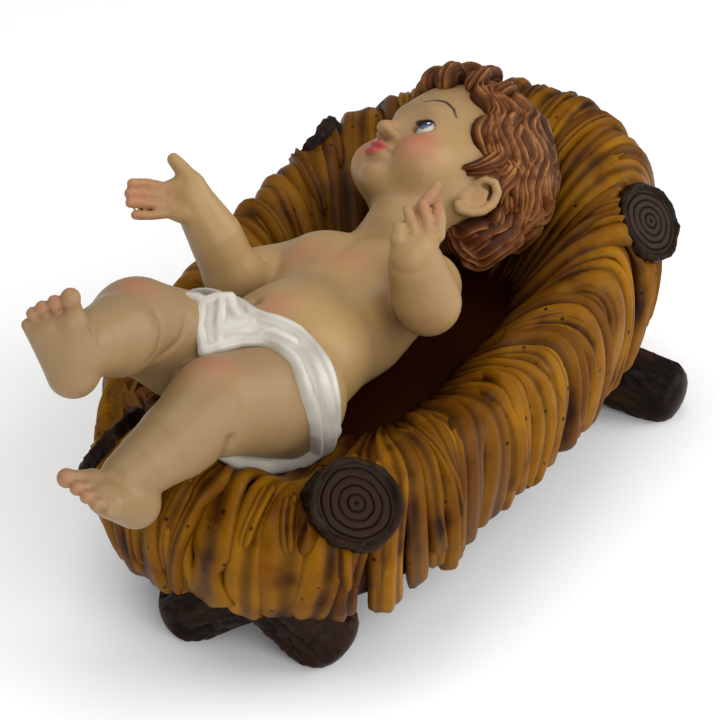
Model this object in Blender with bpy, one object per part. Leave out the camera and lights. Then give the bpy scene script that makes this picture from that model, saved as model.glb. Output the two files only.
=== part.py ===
"""Infant lying in a manger of straw on crossed logs: a hand-painted figure of cast resin.

Two castings: the child, which can be lifted out, and the manger it lies in.
Metres, +Z up, +X towards the child's head, -Y towards its left hand.
"""
import math
import random

import bmesh
import bpy
from mathutils import Matrix, Vector
from mathutils.bvhtree import BVHTree

# The child: one head height sets the whole figure, as in a sculptor's canon
HEAD_HEIGHT = 0.046
CANON_PARTS = 46                 # the head's height is divided into this many parts
HIPS_LOWEST = Vector((-47, 2, 36))  # the lowest point of the hips, in these parts
HIPS_PLACE = Vector((-0.047, 0.002))   # where on the bed that point lies
CHILD_VOXEL = 0.0008             # grain of the clay that the child is fused from
CHILD_SMOOTHING = 3
CHILD_FACES = 4400

# The nest of straw
NEST_LENGTH = 0.183
NEST_WIDTH = 0.096
NEST_MIDDLE = 0.008              # along X from the point midway between the trestles
CORNER_ROUNDNESS = {"foot": 0.72, "head": 0.4}   # 0 is a square corner and 1 an oval
NEAR_FOOT_ROUNDNESS = 0.6        # the corner by the left leg is squarer
HEAD_END_FLARE = 0.005           # the nest is this much wider at the head end on each side
BED_HEIGHT = 0.036               # top of the straw under the child's hips
BED_RISE = 0.006                 # how much higher it is under the head
SIDE_RIM_HEIGHT = 0.0465
HEAD_RIM_RISE = 0.0285
FAR_SIDE_SWELL = 0.007           # the straw is heaped higher beside the child's right arm
FAR_HEAD_SINK = 0.36             # and lower, by this share of the rise, at the corner past it
SKIRT_HEIGHT = 0.021             # the ragged lower ends of the straw above the ground
NEST_FLOOR_HEIGHT = 0.025
CREST_SHARE = 0.87               # the rim's crest, as a share of the way out
BED_SHARE = 0.45                 # where the straw leaves the flat of the bed
STRAND_WIDTH = 0.0054
STRAND_RELIEF = 0.0013
RAGGED_ENDS = 0.0018             # how far the straws' lower ends stray from the hem
HEM_SWAY = 0.0016                # how far the hem itself rises and falls round the nest

# The two trestles of crossed logs
TRESTLE_SPACING = 0.136
LOG_DIAMETER = 0.0205
FOOT_DIAMETER = 0.0165
FOOT_WEAR = 0.0032               # how much of each foot is sawn away to stand flat

SEAT_GAP = 0.0003                # between the child and the straw

SKIN = ("painted_skin", (0.62, 0.42, 0.27), 0.42)
STRAW = ("painted_straw", (0.35, 0.17, 0.03), 0.5)


def clear_scene():
    for item in list(bpy.data.objects):
        bpy.data.objects.remove(item, do_unlink=True)


def painted_resin(name, colour, roughness):
    material = bpy.data.materials.new(name)
    material.use_nodes = True
    shader = material.node_tree.nodes["Principled BSDF"]
    shader.inputs["Base Color"].default_value = (*colour, 1)
    shader.inputs["Roughness"].default_value = roughness
    shader.inputs["Metallic"].default_value = 0
    return material


def add_ball(clay, centre, radii, axes=None, finish=2):
    """Presses an egg of clay on: radii along its own three axes."""
    turn = axes.to_4x4() if axes else Matrix.Identity(4)
    place = Matrix.Translation(centre) @ turn @ Matrix.Diagonal((*radii, 1))
    bmesh.ops.create_icosphere(clay, subdivisions=finish, radius=1, matrix=place)


def add_taper(clay, start, start_radius, end, end_radius, finish=2):
    """Presses on a round taper with round ends, as the hull of two balls."""
    piece = bmesh.new()
    add_ball(piece, start, (start_radius,) * 3, finish=finish)
    add_ball(piece, end, (end_radius,) * 3, finish=finish)
    hull = bmesh.ops.convex_hull(piece, input=piece.verts[:])
    spare = [v for v in hull["geom_interior"] if isinstance(v, bmesh.types.BMVert)]
    bmesh.ops.delete(piece, geom=spare, context="VERTS")
    bmesh.ops.recalc_face_normals(piece, faces=piece.faces[:])
    mesh = bpy.data.meshes.new("taper")
    piece.to_mesh(mesh)
    piece.free()
    clay.from_mesh(mesh)
    bpy.data.meshes.remove(mesh)


def add_chain(clay, points, finish=2):
    """points are (place, radius); neighbours are joined by tapers."""
    for (start, start_radius), (end, end_radius) in zip(points, points[1:]):
        add_taper(clay, start, start_radius, end, end_radius, finish)


def fuse(clay, name):
    """Fuses the lumps of clay into one skin, smooths it and thins its faces."""
    mesh = bpy.data.meshes.new(name)
    clay.to_mesh(mesh)
    clay.free()
    thing = bpy.data.objects.new(name, mesh)
    bpy.context.collection.objects.link(thing)
    remesh = thing.modifiers.new("Fuse", "REMESH")
    remesh.mode = "VOXEL"
    remesh.voxel_size = CHILD_VOXEL
    smooth = thing.modifiers.new("Smooth", "SMOOTH")
    smooth.factor = 0.5
    smooth.iterations = CHILD_SMOOTHING
    fused = evaluated_copy(thing, name)
    thin(fused, CHILD_FACES)
    return fused


def evaluated_copy(thing, name):
    """The object with its modifiers applied, in its place."""
    seen = thing.evaluated_get(bpy.context.evaluated_depsgraph_get())
    mesh = bpy.data.meshes.new_from_object(seen)
    bpy.data.objects.remove(thing, do_unlink=True)
    copy = bpy.data.objects.new(name, mesh)
    bpy.context.collection.objects.link(copy)
    return copy


def thin(thing, faces):
    """Thins the mesh to that many triangles, long ones along the folds."""
    bm = bmesh.new()
    bm.from_mesh(thing.data)
    bmesh.ops.triangulate(bm, faces=bm.faces[:])
    bm.to_mesh(thing.data)
    count = len(bm.faces)
    bm.free()
    modifier = thing.modifiers.new("Thin", "DECIMATE")
    modifier.ratio = min(1, faces / count)
    seen = thing.evaluated_get(bpy.context.evaluated_depsgraph_get())
    mesh = bpy.data.meshes.new_from_object(seen)
    thing.modifiers.clear()
    thing.data = mesh


# The child's canon: places and sizes below are in parts of the head's height
def part_size():
    return HEAD_HEIGHT / CANON_PARTS


def at(x, y, z):
    """A place on the figure, with the hips' resting point on the bed."""
    seat = Vector((*HIPS_PLACE, BED_HEIGHT))
    return seat + (Vector((x, y, z)) - HIPS_LOWEST) * part_size()


def parts(*sizes):
    return tuple(size * part_size() for size in sizes)


def chain(*points):
    return [(at(x, y, z), r * part_size()) for x, y, z, r in points]


def add_torso(clay):
    add_ball(clay, at(-47, 2, 51), parts(15, 17, 14.5), finish=3)
    add_ball(clay, at(-31, 4, 53), parts(16, 16, 14.5), finish=3)
    add_ball(clay, at(-3, 3, 54), parts(17, 18.5, 13), finish=3)
    add_chain(clay, chain((-33, 3, 52.5, 14.5), (-3, 3, 53.5, 13)), finish=3)
    add_chain(clay, chain((8, -13, 55, 8.2), (8, 18, 54.5, 8.2)))
    add_chain(clay, chain((16, 2, 56, 9.5), (33, 1, 62, 9.5)))


def add_legs(clay):
    right_leg = chain((-44, 12, 54, 13.2), (-66, 19, 70, 10.3))
    right_shin = chain((-67, 19, 70, 9.6), (-78, 19, 73, 8.6), (-90, 19, 77, 6.2))
    left_leg = chain((-45, -7, 50, 13.5), (-58, -4, 56, 12.4), (-71, 1, 60, 10.5))
    left_shin = chain((-72, 1, 60, 9.8), (-82, 5, 56, 8.4), (-93, 10, 51, 6.0))
    for limb in (right_leg, right_shin, left_leg, left_shin):
        add_chain(clay, limb)
    add_foot(clay, Vector((-92.5, 20, 72)), Vector((-99, 22.5, 88.5)), Vector((0.1, 0.82, -0.57)))
    add_foot(clay, Vector((-93, 7, 44)), Vector((-106, 13, 54)), Vector((0.25, -0.8, -0.55)))


def add_foot(clay, heel, toes, outward):
    """heel and toes are places in parts; outward points to the little toe's side."""
    along = (toes - heel).normalized()
    across = (outward - along * outward.dot(along)).normalized()
    ball = toes - along * 3
    add_chain(clay, chain((*heel, 5.2), (*(ball + across * 1.2), 3.6)))
    add_chain(clay, chain((*(heel + across * 0.8), 5.0), (*(ball + across * 3.2), 3.2)))
    add_chain(clay, chain((*heel, 5.0), (*(ball - across * 2.6), 3.7)))
    for number in range(5):
        offset = across * (-3.7 + 2.15 * number)
        reach = (3.6, 3.3, 2.7, 2.0, 1.2)[number]
        radius = (2.0, 1.45, 1.4, 1.35, 1.3)[number]
        root = ball + offset * 0.9 - along * 0.5
        tip = ball + offset + along * reach
        add_chain(clay, chain((*root, radius * 1.05), (*tip, radius)))


def add_arms(clay):
    right_upper = chain((7, 18, 55, 8.0), (-14, 26, 59, 6.4))
    right_fore = chain((-14, 26, 59, 6.6), (-16, 30, 69, 5.4), (-18, 34.5, 78, 4.3))
    left_upper = chain((7, -14, 56, 8.2), (-12, -23, 61, 7.6))
    left_fore = chain((-12, -23, 61, 7.8), (-15, -23, 69, 6.6), (-17, -23, 77, 4.9))
    for limb in (right_upper, right_fore, left_upper, left_fore):
        add_chain(clay, limb)
    add_hand(clay, Vector((-18, 34.5, 78)), Vector((-0.62, 0.72, 0.2)),
             Vector((-0.5, -0.3, 0.8)), Vector((0.35, 0.3, 0.88)), 5.6, 0.35)
    add_hand(clay, Vector((-17, -23, 77)), Vector((0.39, -0.23, 0.89)),
             Vector((0.0, 0.9, 0.3)), Vector((-0.8, 0.4, 0.45)), 3.6, 0.55)


def add_hand(clay, wrist, along, palm, thumb, thumb_length, curl):
    """along runs to the fingers, palm faces out of the hand, thumb points to its tip."""
    along = along.normalized()
    palm = (palm - along * palm.dot(along)).normalized()
    across = along.cross(palm).normalized()
    if across.dot(thumb) < 0:
        across = -across
    heart = wrist + along * 5.2
    axes = Matrix((along, across, palm)).transposed()
    add_chain(clay, chain((*wrist, 4.2), (*heart, 3.2)))
    add_ball(clay, at(*heart), parts(4.4, 5.0, 2.6), axes)
    for number in range(4):
        offset = across * (3.6 - 2.4 * number)
        length = (6.2, 6.8, 6.3, 5.0)[number]
        root = heart + along * 2.6 + offset
        middle = root + along * length * 0.55 + palm * curl * 1.5
        tip = root + along * length * 0.95 + palm * curl * 4.5
        add_chain(clay, chain((*root, 1.55), (*middle, 1.45), (*tip, 1.25)))
    base = heart - along * 1.5 + across * 3.0 + palm * 0.6
    knuckle = base + thumb * thumb_length * 0.55
    tip = base + thumb * thumb_length
    add_chain(clay, chain((*base, 2.4), (*knuckle, 1.9), (*tip, 1.5)))


HEAD_CENTRE = Vector((48.4, -1.8, 66.3))
HEAD_UP = Vector((0.88, -0.23, 0.41)).normalized()
HEAD_FRONT = Vector((-0.26, 0.49, 0.83))
HEAD_LEFT = HEAD_UP.cross(HEAD_FRONT).normalized()
HEAD_FRONT = HEAD_LEFT.cross(HEAD_UP).normalized()
HEAD_AXES = Matrix((HEAD_FRONT, HEAD_LEFT, HEAD_UP)).transposed()


def on_head(front, left, up):
    """A place in the head's own axes, in parts from its middle."""
    return HEAD_CENTRE + HEAD_FRONT * front + HEAD_LEFT * left + HEAD_UP * up


def head_ball(clay, place, radii, finish=2):
    add_ball(clay, at(*on_head(*place)), parts(*radii), HEAD_AXES, finish)


def add_head(clay):
    head_ball(clay, (-2, 0, 3.5), (21.5, 19, 19.5), finish=3)
    head_ball(clay, (4, 0, -5.5), (15.5, 15.5, 16), finish=3)
    head_ball(clay, (8.5, 0, -15), (9, 10.5, 7))
    head_ball(clay, (14.5, 0, -19), (4.2, 5.0, 3.6))
    for side in (-1, 1):
        head_ball(clay, (12, 8.3 * side, -11.5), (7, 6.5, 7))
        head_ball(clay, (15.2, 7 * side, -4.2), (3.6, 4.4, 3.0))
        head_ball(clay, (-1.5, 18.3 * side, -6.5), (4.2, 2.2, 6.2))
        head_ball(clay, (20.4, 1.9 * side, -9.6), (1.6, 1.5, 1.3))
    for height, width in ((-13.8, 3.4), (-15.7, 2.8)):
        head_ball(clay, (18.6, 0, height), (1.8, width, 1.05))
    start = at(*on_head(18.6, 0, -3.5))
    end = at(*on_head(21.3, 0, -8.6))
    add_taper(clay, start, parts(1.5)[0], end, parts(2.1)[0])


LOCK_COUNT = 22
WHORL_TILT = math.radians(-28)      # the crown's whorl lies behind the top of the head


def hair_point(turn, fall, lift):
    """A place on the scalp: turn about the whorl, fall from it, both as angles."""
    axis_up = Vector((math.sin(WHORL_TILT), 0, math.cos(WHORL_TILT)))
    axis_front = Vector((math.cos(WHORL_TILT), 0, -math.sin(WHORL_TILT)))
    side = Vector((0, 1, 0))
    flat = axis_front * math.cos(turn) + side * math.sin(turn)
    way = axis_up * math.cos(fall) + flat * math.sin(fall)
    return on_head(-2 + way.x * (21.5 + lift), way.y * (19 + lift), 3.5 + way.z * (19.5 + lift))


def hairline(turn):
    """How far the locks fall from the whorl: least over the forehead, most at the nape."""
    front = (1 + math.cos(turn)) / 2
    return math.radians(126 - 58 * front ** 1.5)


def add_hair(clay):
    chance = random.Random(3)
    for number in range(LOCK_COUNT):
        turn = 2 * math.pi * number / LOCK_COUNT
        for start_share, length_share in ((0.05, 0.55), (0.5, 0.5)):
            middle = turn + (0.5 if start_share > 0.3 else 0) * 2 * math.pi / LOCK_COUNT
            end = hairline(middle)
            phase = chance.uniform(0, 2 * math.pi)
            points = []
            for step in range(6):
                share = start_share + length_share * step / 5
                fall = end * share
                wave = 1.7 * math.sin(phase + step * 1.5)
                spread = wave / (20 * max(0.3, math.sin(fall)))
                radius = 2.6 - 0.16 * step
                points.append((*hair_point(middle + spread, fall, 0.6 + 0.5 * math.sin(step)), radius))
            add_chain(clay, chain(*points), finish=1)


def add_tufts(clay):
    """Curls that stand up over the forehead."""
    for front, left, up, radius in ((13, 1, 19.5, 4.4), (17.5, -2, 14, 3.7), (14, 8, 16.5, 3.6),
                                    (12.5, -9, 17, 3.6), (8, 5, 22, 3.8)):
        head_ball(clay, (front, left, up), (radius, radius, radius * 0.9))


def add_loincloth(clay):
    """Linen drawn round the hips, rolled at its edge and knotted on the right hip."""
    add_ball(clay, at(-45, 2, 51), parts(15.5, 18.6, 16), finish=3)
    band = []
    for step in range(25):
        turn = 2 * math.pi * step / 24
        lean = 3.5 * math.cos(turn) + 3.0 * math.sin(turn)
        band.append((-37 - lean, 3 + 16.6 * math.cos(turn), 52.5 + 14.6 * math.sin(turn), 2.0))
    add_chain(clay, chain(*band))
    add_chain(clay, chain((-42, 13, 67, 3), (-47, 17, 68, 3.4), (-52, 18, 67, 2.6)))
    add_chain(clay, chain((-44, 17, 66, 2.6), (-43, 21, 63, 3), (-45, 23, 57, 2.2)))
    add_chain(clay, chain((-37, -13, 47, 3.2), (-46, -15, 43, 3.4), (-56, -10, 38.5, 2.4)))


def make_child():
    clay = bmesh.new()
    add_torso(clay)
    add_legs(clay)
    add_arms(clay)
    add_head(clay)
    add_hair(clay)
    add_tufts(clay)
    add_loincloth(clay)
    return fuse(clay, "child")


# The nest of straw, from above a rounded oblong
def outline(turn, share=1.0):
    """A place on the nest's plan, that share of the way from the middle to the outside."""
    ahead = math.cos(turn)
    across = math.sin(turn)
    power = (CORNER_ROUNDNESS["foot"] + CORNER_ROUNDNESS["head"]) / 2
    power += (CORNER_ROUNDNESS["head"] - CORNER_ROUNDNESS["foot"]) / 2 * ahead
    if ahead < 0 and across < 0:
        power += (NEAR_FOOT_ROUNDNESS - CORNER_ROUNDNESS["foot"]) * -ahead
    x = math.copysign(abs(ahead) ** power, ahead)
    y = math.copysign(abs(across) ** power, across)
    half_width = NEST_WIDTH / 2 + HEAD_END_FLARE * x
    return Vector((NEST_MIDDLE + NEST_LENGTH / 2 * x * share, half_width * y * share, 0))


def along_nest(x):
    """From -1 at the foot end to 1 at the head end."""
    return (x - NEST_MIDDLE) / (NEST_LENGTH / 2)


def rim_height(place):
    along = max(0, along_nest(place.x)) / CREST_SHARE
    far = max(0, place.y) / (NEST_WIDTH / 2)
    swell = max(0, 1 - ((along_nest(place.x) - 0.1) / 0.75) ** 2)
    rise = HEAD_RIM_RISE * along * along * (1 - FAR_HEAD_SINK * far)
    return SIDE_RIM_HEIGHT + rise + FAR_SIDE_SWELL * far * swell


def bed_height(x):
    return BED_HEIGHT + BED_RISE * (along_nest(x) + 1) / 2


def lengths_along(places):
    run = [0]
    for first, second in zip(places, places[1:]):
        run.append(run[-1] + (second - first).length)
    return run


def even_turns(count):
    """Turns that space count places evenly round the rim, and the rim's length."""
    turns = [2 * math.pi * number / (2 * count) for number in range(2 * count + 1)]
    run = lengths_along([outline(turn, CREST_SHARE) for turn in turns])
    found = []
    index = 0
    for number in range(count):
        while run[index + 1] <= run[-1] * number / count:
            index += 1
        part = (run[-1] * number / count - run[index]) / (run[index + 1] - run[index])
        found.append(turns[index] + (turns[index + 1] - turns[index]) * part)
    return found, run[-1]


RIM_TURNS, RIM_LENGTH = even_turns(720)


def turn_at(lap):
    """The turn at a share of the way round the rim, from the head end over the right side."""
    count = len(RIM_TURNS)
    place = (lap % 1) * count
    index = int(place) % count
    after = RIM_TURNS[index + 1] if index + 1 < count else 2 * math.pi
    return RIM_TURNS[index] + (after - RIM_TURNS[index]) * (place - int(place))


def nest_profile(lap, step):
    """The straw's way from the bed over the rim, at step 0.5, and down the outside to 1."""
    turn = turn_at(lap)
    top = rim_height(outline(turn, CREST_SHARE))
    if step < 0.5:
        rise = step / 0.5
        place = outline(turn, BED_SHARE + (CREST_SHARE - BED_SHARE) * rise)
        floor = bed_height(place.x)
        place.z = floor + (top - floor) * math.sin(rise * math.pi / 2) ** 1.4
        return place
    fall = (step - 0.5) / 0.5 * math.pi / 2
    place = outline(turn, CREST_SHARE + (1 - CREST_SHARE) * math.sin(fall) ** 0.8)
    place.z = top - (top - SKIRT_HEIGHT) * (1 - math.cos(fall)) ** 0.9
    return place


def outward(lap, step):
    """The way out of the straw there, square to its surface."""
    around = nest_profile(lap + 0.006, step) - nest_profile(lap - 0.006, step)
    across = nest_profile(lap, min(1, step + 0.02)) - nest_profile(lap, max(0, step - 0.02))
    return around.cross(across).normalized() * -1


def slant(lap, step):
    """How far round the straws lean on their way down; neighbours lean alike."""
    turn = 2 * math.pi * lap
    lean = 0.016 * math.sin(3 * turn + 1) + 0.012 * math.sin(7 * turn) + 0.008 * math.sin(13 * turn + 2)
    return lean * (step - 0.4)


def hem_sway(lap):
    turn = 2 * math.pi * lap
    return HEM_SWAY * (0.6 * math.sin(5 * turn) + 0.4 * math.sin(11 * turn + 1))


def make_nest():
    """Thick straws side by side over the rim: each has a ridge between two grooves."""
    chance = random.Random(11)
    count = 4 * round(RIM_LENGTH / STRAND_WIDTH / 2)
    laps = [number / count for number in range(count)]
    ridge_heights = [chance.uniform(0.55, 1.25) for _ in range(count)]
    ends = [chance.uniform(-1, 1) + (0 if number % 2 else 0.4) for number in range(count)]
    bm = bmesh.new()
    rings = []
    for step in (0, 0.12, 0.25, 0.38, 0.5, 0.6, 0.72, 0.86, 1):
        ring = []
        for number, lap in enumerate(laps):
            leaning = lap + slant(lap, step)
            relief = ridge_heights[number] if number % 2 else -0.8
            relief *= STRAND_RELIEF * min(1, 0.35 + 2 * step, 0.6 + 3 * (1 - step))
            place = nest_profile(leaning, step) + outward(leaning, step) * relief
            if step == 1:
                place.z += hem_sway(lap) + RAGGED_ENDS * ends[number]
            ring.append(bm.verts.new(place))
        rings.append(ring)
    hem = []
    for lap in laps:
        place = outline(turn_at(lap + slant(lap, 1)), 0.9)
        place.z = (SKIRT_HEIGHT + NEST_FLOOR_HEIGHT + RAGGED_ENDS) / 2 + hem_sway(lap)
        hem.append(bm.verts.new(place))
    rings.append(hem)
    for first, second in zip(rings, rings[1:]):
        for number in range(count):
            after = (number + 1) % count
            bm.faces.new((first[number], second[number], second[after], first[after]))
    turns = [turn_at(lap) for lap in laps]
    close_with_rings(bm, rings[0], [(BED_SHARE * share, bed_height) for share in (0.7, 0.4, 0.12)], turns)
    close_with_rings(bm, hem, [(0.6, lambda x: NEST_FLOOR_HEIGHT)], turns)
    bmesh.ops.recalc_face_normals(bm, faces=bm.faces[:])
    bmesh.ops.triangulate(bm, faces=bm.faces[:])
    return thing_from(bm, "manger")


def close_with_rings(bm, edge, steps, turns):
    """Closes a ring with coarser rings inside it, one place for every four of its own."""
    coarse = turns[::4]
    inner = []
    for share, height in steps:
        ring = []
        for turn in coarse:
            place = outline(turn, share)
            place.z = height(place.x)
            ring.append(bm.verts.new(place))
        inner.append(ring)
    count = len(edge)
    for number, start in enumerate(inner[0]):
        after = inner[0][(number + 1) % len(coarse)]
        run = [edge[(4 * number + offset) % count] for offset in range(5)]
        bm.faces.new([*run, after, start])
    for first, second in zip(inner, inner[1:]):
        for number in range(len(coarse)):
            after = (number + 1) % len(coarse)
            bm.faces.new((first[number], second[number], second[after], first[after]))
    bm.faces.new(inner[-1])


def thing_from(bm, name):
    mesh = bpy.data.meshes.new(name)
    bm.to_mesh(mesh)
    bm.free()
    thing = bpy.data.objects.new(name, mesh)
    bpy.context.collection.objects.link(thing)
    return thing


def make_log(name, route, cut_normal):
    """A crooked log, sawn flat at its upper end, along a smooth curve through the route."""
    sides = 14
    places = smooth_route([Vector(place) for place in route])
    bm = bmesh.new()
    rings = []
    for index, place in enumerate(places):
        share = index / (len(places) - 1)
        before = places[max(0, index - 1)]
        after = places[min(len(places) - 1, index + 1)]
        way = (after - before).normalized()
        if index == 0:
            way = -Vector(cut_normal).normalized()
        side = way.cross(Vector((1, 0, 0.2))).normalized()
        other = way.cross(side).normalized()
        radius = (LOG_DIAMETER + (FOOT_DIAMETER - LOG_DIAMETER) * share) / 2
        ring = []
        for number in range(sides):
            turn = 2 * math.pi * number / sides
            bark = 1 + 0.035 * math.sin(3 * turn + 5 * share + len(rings))
            if index == 0:
                bark = 0.97
            ring.append(bm.verts.new(place + (side * math.cos(turn) + other * math.sin(turn)) * radius * bark))
        rings.append(ring)
    way = (places[-1] - places[-2]).normalized()
    for reach, share in ((0.35, 0.82), (0.55, 0.45)):
        centre = places[-1] + way * reach * FOOT_DIAMETER / 2
        rings.append([bm.verts.new(centre + (vertex.co - places[-1]) * share) for vertex in ring])
    for first, second in zip(rings, rings[1:]):
        for number in range(sides):
            after = (number + 1) % sides
            bm.faces.new((first[number], second[number], second[after], first[after]))
    bm.faces.new(rings[0])
    bm.faces.new(list(reversed(rings[-1])))
    bmesh.ops.recalc_face_normals(bm, faces=bm.faces[:])
    return thing_from(bm, name)


def smooth_route(corners, steps=3):
    """Places along a curve that passes through the corners."""
    padded = [corners[0] * 2 - corners[1], *corners, corners[-1] * 2 - corners[-2]]
    places = []
    for a, b, c, d in zip(padded, padded[1:], padded[2:], padded[3:]):
        for step in range(steps):
            t = step / steps
            bend = (a * -1 + b * 3 - c * 3 + d) * t ** 3 + (a * 2 - b * 5 + c * 4 - d) * t * t
            places.append((bend + (c - a) * t + b * 2) / 2)
    places.append(corners[-1])
    return places


def make_trestles():
    """Two logs cross at each end; their upper ends stand out of the straw at its corners."""
    half = TRESTLE_SPACING / 2
    rest = FOOT_DIAMETER / 2 - FOOT_WEAR
    rim = SIDE_RIM_HEIGHT
    side = NEST_WIDTH / 2
    logs = {
        "front_left": (((-half - 0.004, 0.018 - side, rim - 0.0035), (-half + 0.003, 0.026 - side, rim - 0.012),
                        (-half + 0.001, -0.006, 0.019), (-half - 0.0005, 0.0105, rest)),
                       (-0.53, -0.5, 0.68)),
        "front_right": (((-half, side - 0.014, rim - 0.004), (-half, side - 0.024, rim - 0.013),
                         (-half, -0.008, 0.017), (-half + 0.002, -0.0215, rest)), (0, 0.82, 0.57)),
        "rear_left": (((half - 0.0004, -side, rim + 0.0096), (half + 0.001, 0.015 - side, rim - 0.004),
                       (half, 0, 0.021), (half, side + 0.002, rest)), (-0.2, -0.8, 0.55)),
        "rear_right": (((half + 0.002, side - 0.0005, rim + 0.0105), (half, side - 0.014, rim - 0.002),
                        (half, 0, 0.021), (half + 0.003, -0.0035 - side, rest)), (0, 0.85, 0.53)),
    }
    return [make_log(name, route, normal) for name, (route, normal) in logs.items()]


def underside(tree, x, y):
    """Height of the lowest face of a thing above that place, or None."""
    hit = tree.ray_cast(Vector((x, y, -1)), Vector((0, 0, 1)))
    return hit[0].z if hit[0] else None


def press_bed(manger, child):
    """The straw gives way under the child, who lies in the hollow it has pressed."""
    tree = tree_of(child)
    room = 2 * SEAT_GAP
    for vertex in manger.data.vertices:
        lowest = underside(tree, vertex.co.x, vertex.co.y)
        if lowest is not None and vertex.co.z > lowest - room:
            vertex.co.z = lowest - room
    faces = manger.data.polygons
    for _ in range(40):
        pairs = tree.overlap(tree_of(manger))
        if not pairs:
            return
        pressed = {corner for _, face in pairs for corner in faces[face].vertices}
        for corner in pressed:
            manger.data.vertices[corner].co.z -= SEAT_GAP


def tree_of(thing):
    bm = bmesh.new()
    bm.from_mesh(thing.data)
    tree = BVHTree.FromBMesh(bm)
    bm.free()
    return tree


def stand_on_ground(thing):
    """Saws the feet off flat at the ground and closes the cuts."""
    bm = bmesh.new()
    bm.from_mesh(thing.data)
    everything = bm.verts[:] + bm.edges[:] + bm.faces[:]
    cut = bmesh.ops.bisect_plane(bm, geom=everything, dist=1e-7, plane_co=(0, 0, 0),
                                 plane_no=(0, 0, 1), clear_inner=True)
    edges = [item for item in cut["geom_cut"] if isinstance(item, bmesh.types.BMEdge)]
    bmesh.ops.holes_fill(bm, edges=edges, sides=0)
    bmesh.ops.recalc_face_normals(bm, faces=bm.faces[:])
    bm.to_mesh(thing.data)
    bm.free()


def seat_child(child, manger):
    """Lowers the child until it lies on the straw, a gap short of touching."""
    straw = tree_of(manger)
    body = tree_of(child)
    down = Vector((0, 0, -1))
    clear = []
    for vertex in child.data.vertices:
        hit = straw.ray_cast(vertex.co, down)
        if hit[0]:
            clear.append(hit[3])
    for vertex in manger.data.vertices:
        hit = body.ray_cast(vertex.co, -down)
        if hit[0]:
            clear.append(hit[3])
    move(child, Vector((0, 0, SEAT_GAP - min(clear))))
    while tree_of(child).overlap(straw):
        move(child, Vector((0, 0, SEAT_GAP / 2)))


def move(thing, way):
    thing.data.transform(Matrix.Translation(way))
    thing.data.update()


def centre_on_origin(things):
    """Puts the origin in the middle of the whole, on the ground."""
    places = [vertex.co for thing in things for vertex in thing.data.vertices]
    x = (min(p.x for p in places) + max(p.x for p in places)) / 2
    y = (min(p.y for p in places) + max(p.y for p in places)) / 2
    for thing in things:
        move(thing, Vector((-x, -y, 0)))


def make_manger(child):
    manger = make_nest()
    press_bed(manger, child)
    for log in make_trestles():
        union = manger.modifiers.new(log.name, "BOOLEAN")
        union.operation = "UNION"
        union.solver = "MANIFOLD"
        union.object = log
        log.hide_render = True
        log.display_type = "WIRE"
    logs = [modifier.object for modifier in manger.modifiers]
    manger = evaluated_copy(manger, "manger")
    for log in logs:
        bpy.data.objects.remove(log, do_unlink=True)
    stand_on_ground(manger)
    return manger


clear_scene()
child = make_child()
manger = make_manger(child)
seat_child(child, manger)
centre_on_origin([child, manger])
child.data.materials.append(painted_resin(*SKIN))
manger.data.materials.append(painted_resin(*STRAW))
for thing in (child, manger):
    thing.data.shade_smooth()
    thing.data.set_sharp_from_angle(angle=math.radians(50))
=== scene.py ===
"""Looks of the infant in its straw manger: two castings of hand-painted resin."""
import math
import random

import bmesh
import bpy
import numpy as np
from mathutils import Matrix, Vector, noise
from mathutils.bvhtree import BVHTree


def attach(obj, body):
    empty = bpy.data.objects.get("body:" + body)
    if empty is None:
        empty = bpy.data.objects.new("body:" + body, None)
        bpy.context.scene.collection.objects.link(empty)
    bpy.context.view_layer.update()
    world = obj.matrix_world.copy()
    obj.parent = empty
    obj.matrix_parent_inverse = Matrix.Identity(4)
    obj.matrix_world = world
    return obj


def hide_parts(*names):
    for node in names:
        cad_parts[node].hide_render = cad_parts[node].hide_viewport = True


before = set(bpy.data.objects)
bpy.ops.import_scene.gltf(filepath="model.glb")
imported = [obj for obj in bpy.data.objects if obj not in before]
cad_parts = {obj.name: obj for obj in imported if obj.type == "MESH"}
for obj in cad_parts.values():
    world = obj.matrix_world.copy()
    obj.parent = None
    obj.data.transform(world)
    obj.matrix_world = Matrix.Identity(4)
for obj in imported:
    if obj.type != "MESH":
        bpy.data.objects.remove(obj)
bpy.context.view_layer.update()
bpy.ops.object.select_all(action="DESELECT")


# The child's body is cast polyester resin, one piece with its head, hair and cloth. A sculptor
# built the model up from lumps of clay, smoothed into one another, and pressed the creases in.
# Places and sizes are in millimetres, in the child's own drawing, whose hips lie over x = -47.
DRAWING_MIDDLE = np.array((-3.92, -0.79, 0.0))


def spaced(low, high, fine_spans, fine, coarse):
    """Planes across the clay, closer together within the spans that hold fine work."""
    planes = [low]
    while planes[-1] < high:
        gap = min((max(a - planes[-1], planes[-1] - b, 0) for a, b in fine_spans), default=9)
        planes.append(planes[-1] + fine + (coarse - fine) * min(1, gap / 4))
    return np.array(planes, dtype=np.float32)


def new_clay(planes):
    return {"planes": planes, "depth": np.full([len(p) for p in planes], 20, dtype=np.float32)}


def window(clay, low, high, room):
    """The part of the clay near a box, and the places of its points."""
    cuts = []
    for planes, start, stop in zip(clay["planes"], low, high):
        cuts.append(slice(max(0, int(np.searchsorted(planes, start - room))),
                          int(np.searchsorted(planes, stop + room))))
    return tuple(cuts), np.ix_(*(planes[cut] for planes, cut in zip(clay["planes"], cuts)))


def melt(first, second, blend):
    """The union of two depths, with a fillet about as wide as the blend."""
    share = np.clip(0.5 + 0.5 * (first - second) / blend, 0, 1)
    return first + (second - first) * share - blend * share * (1 - share)


def stick(clay, cut, depth, blend):
    clay["depth"][cut] = melt(clay["depth"][cut], depth, blend)


def carve(clay, cut, depth, blend):
    clay["depth"][cut] = -melt(-clay["depth"][cut], depth, blend)


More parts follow.
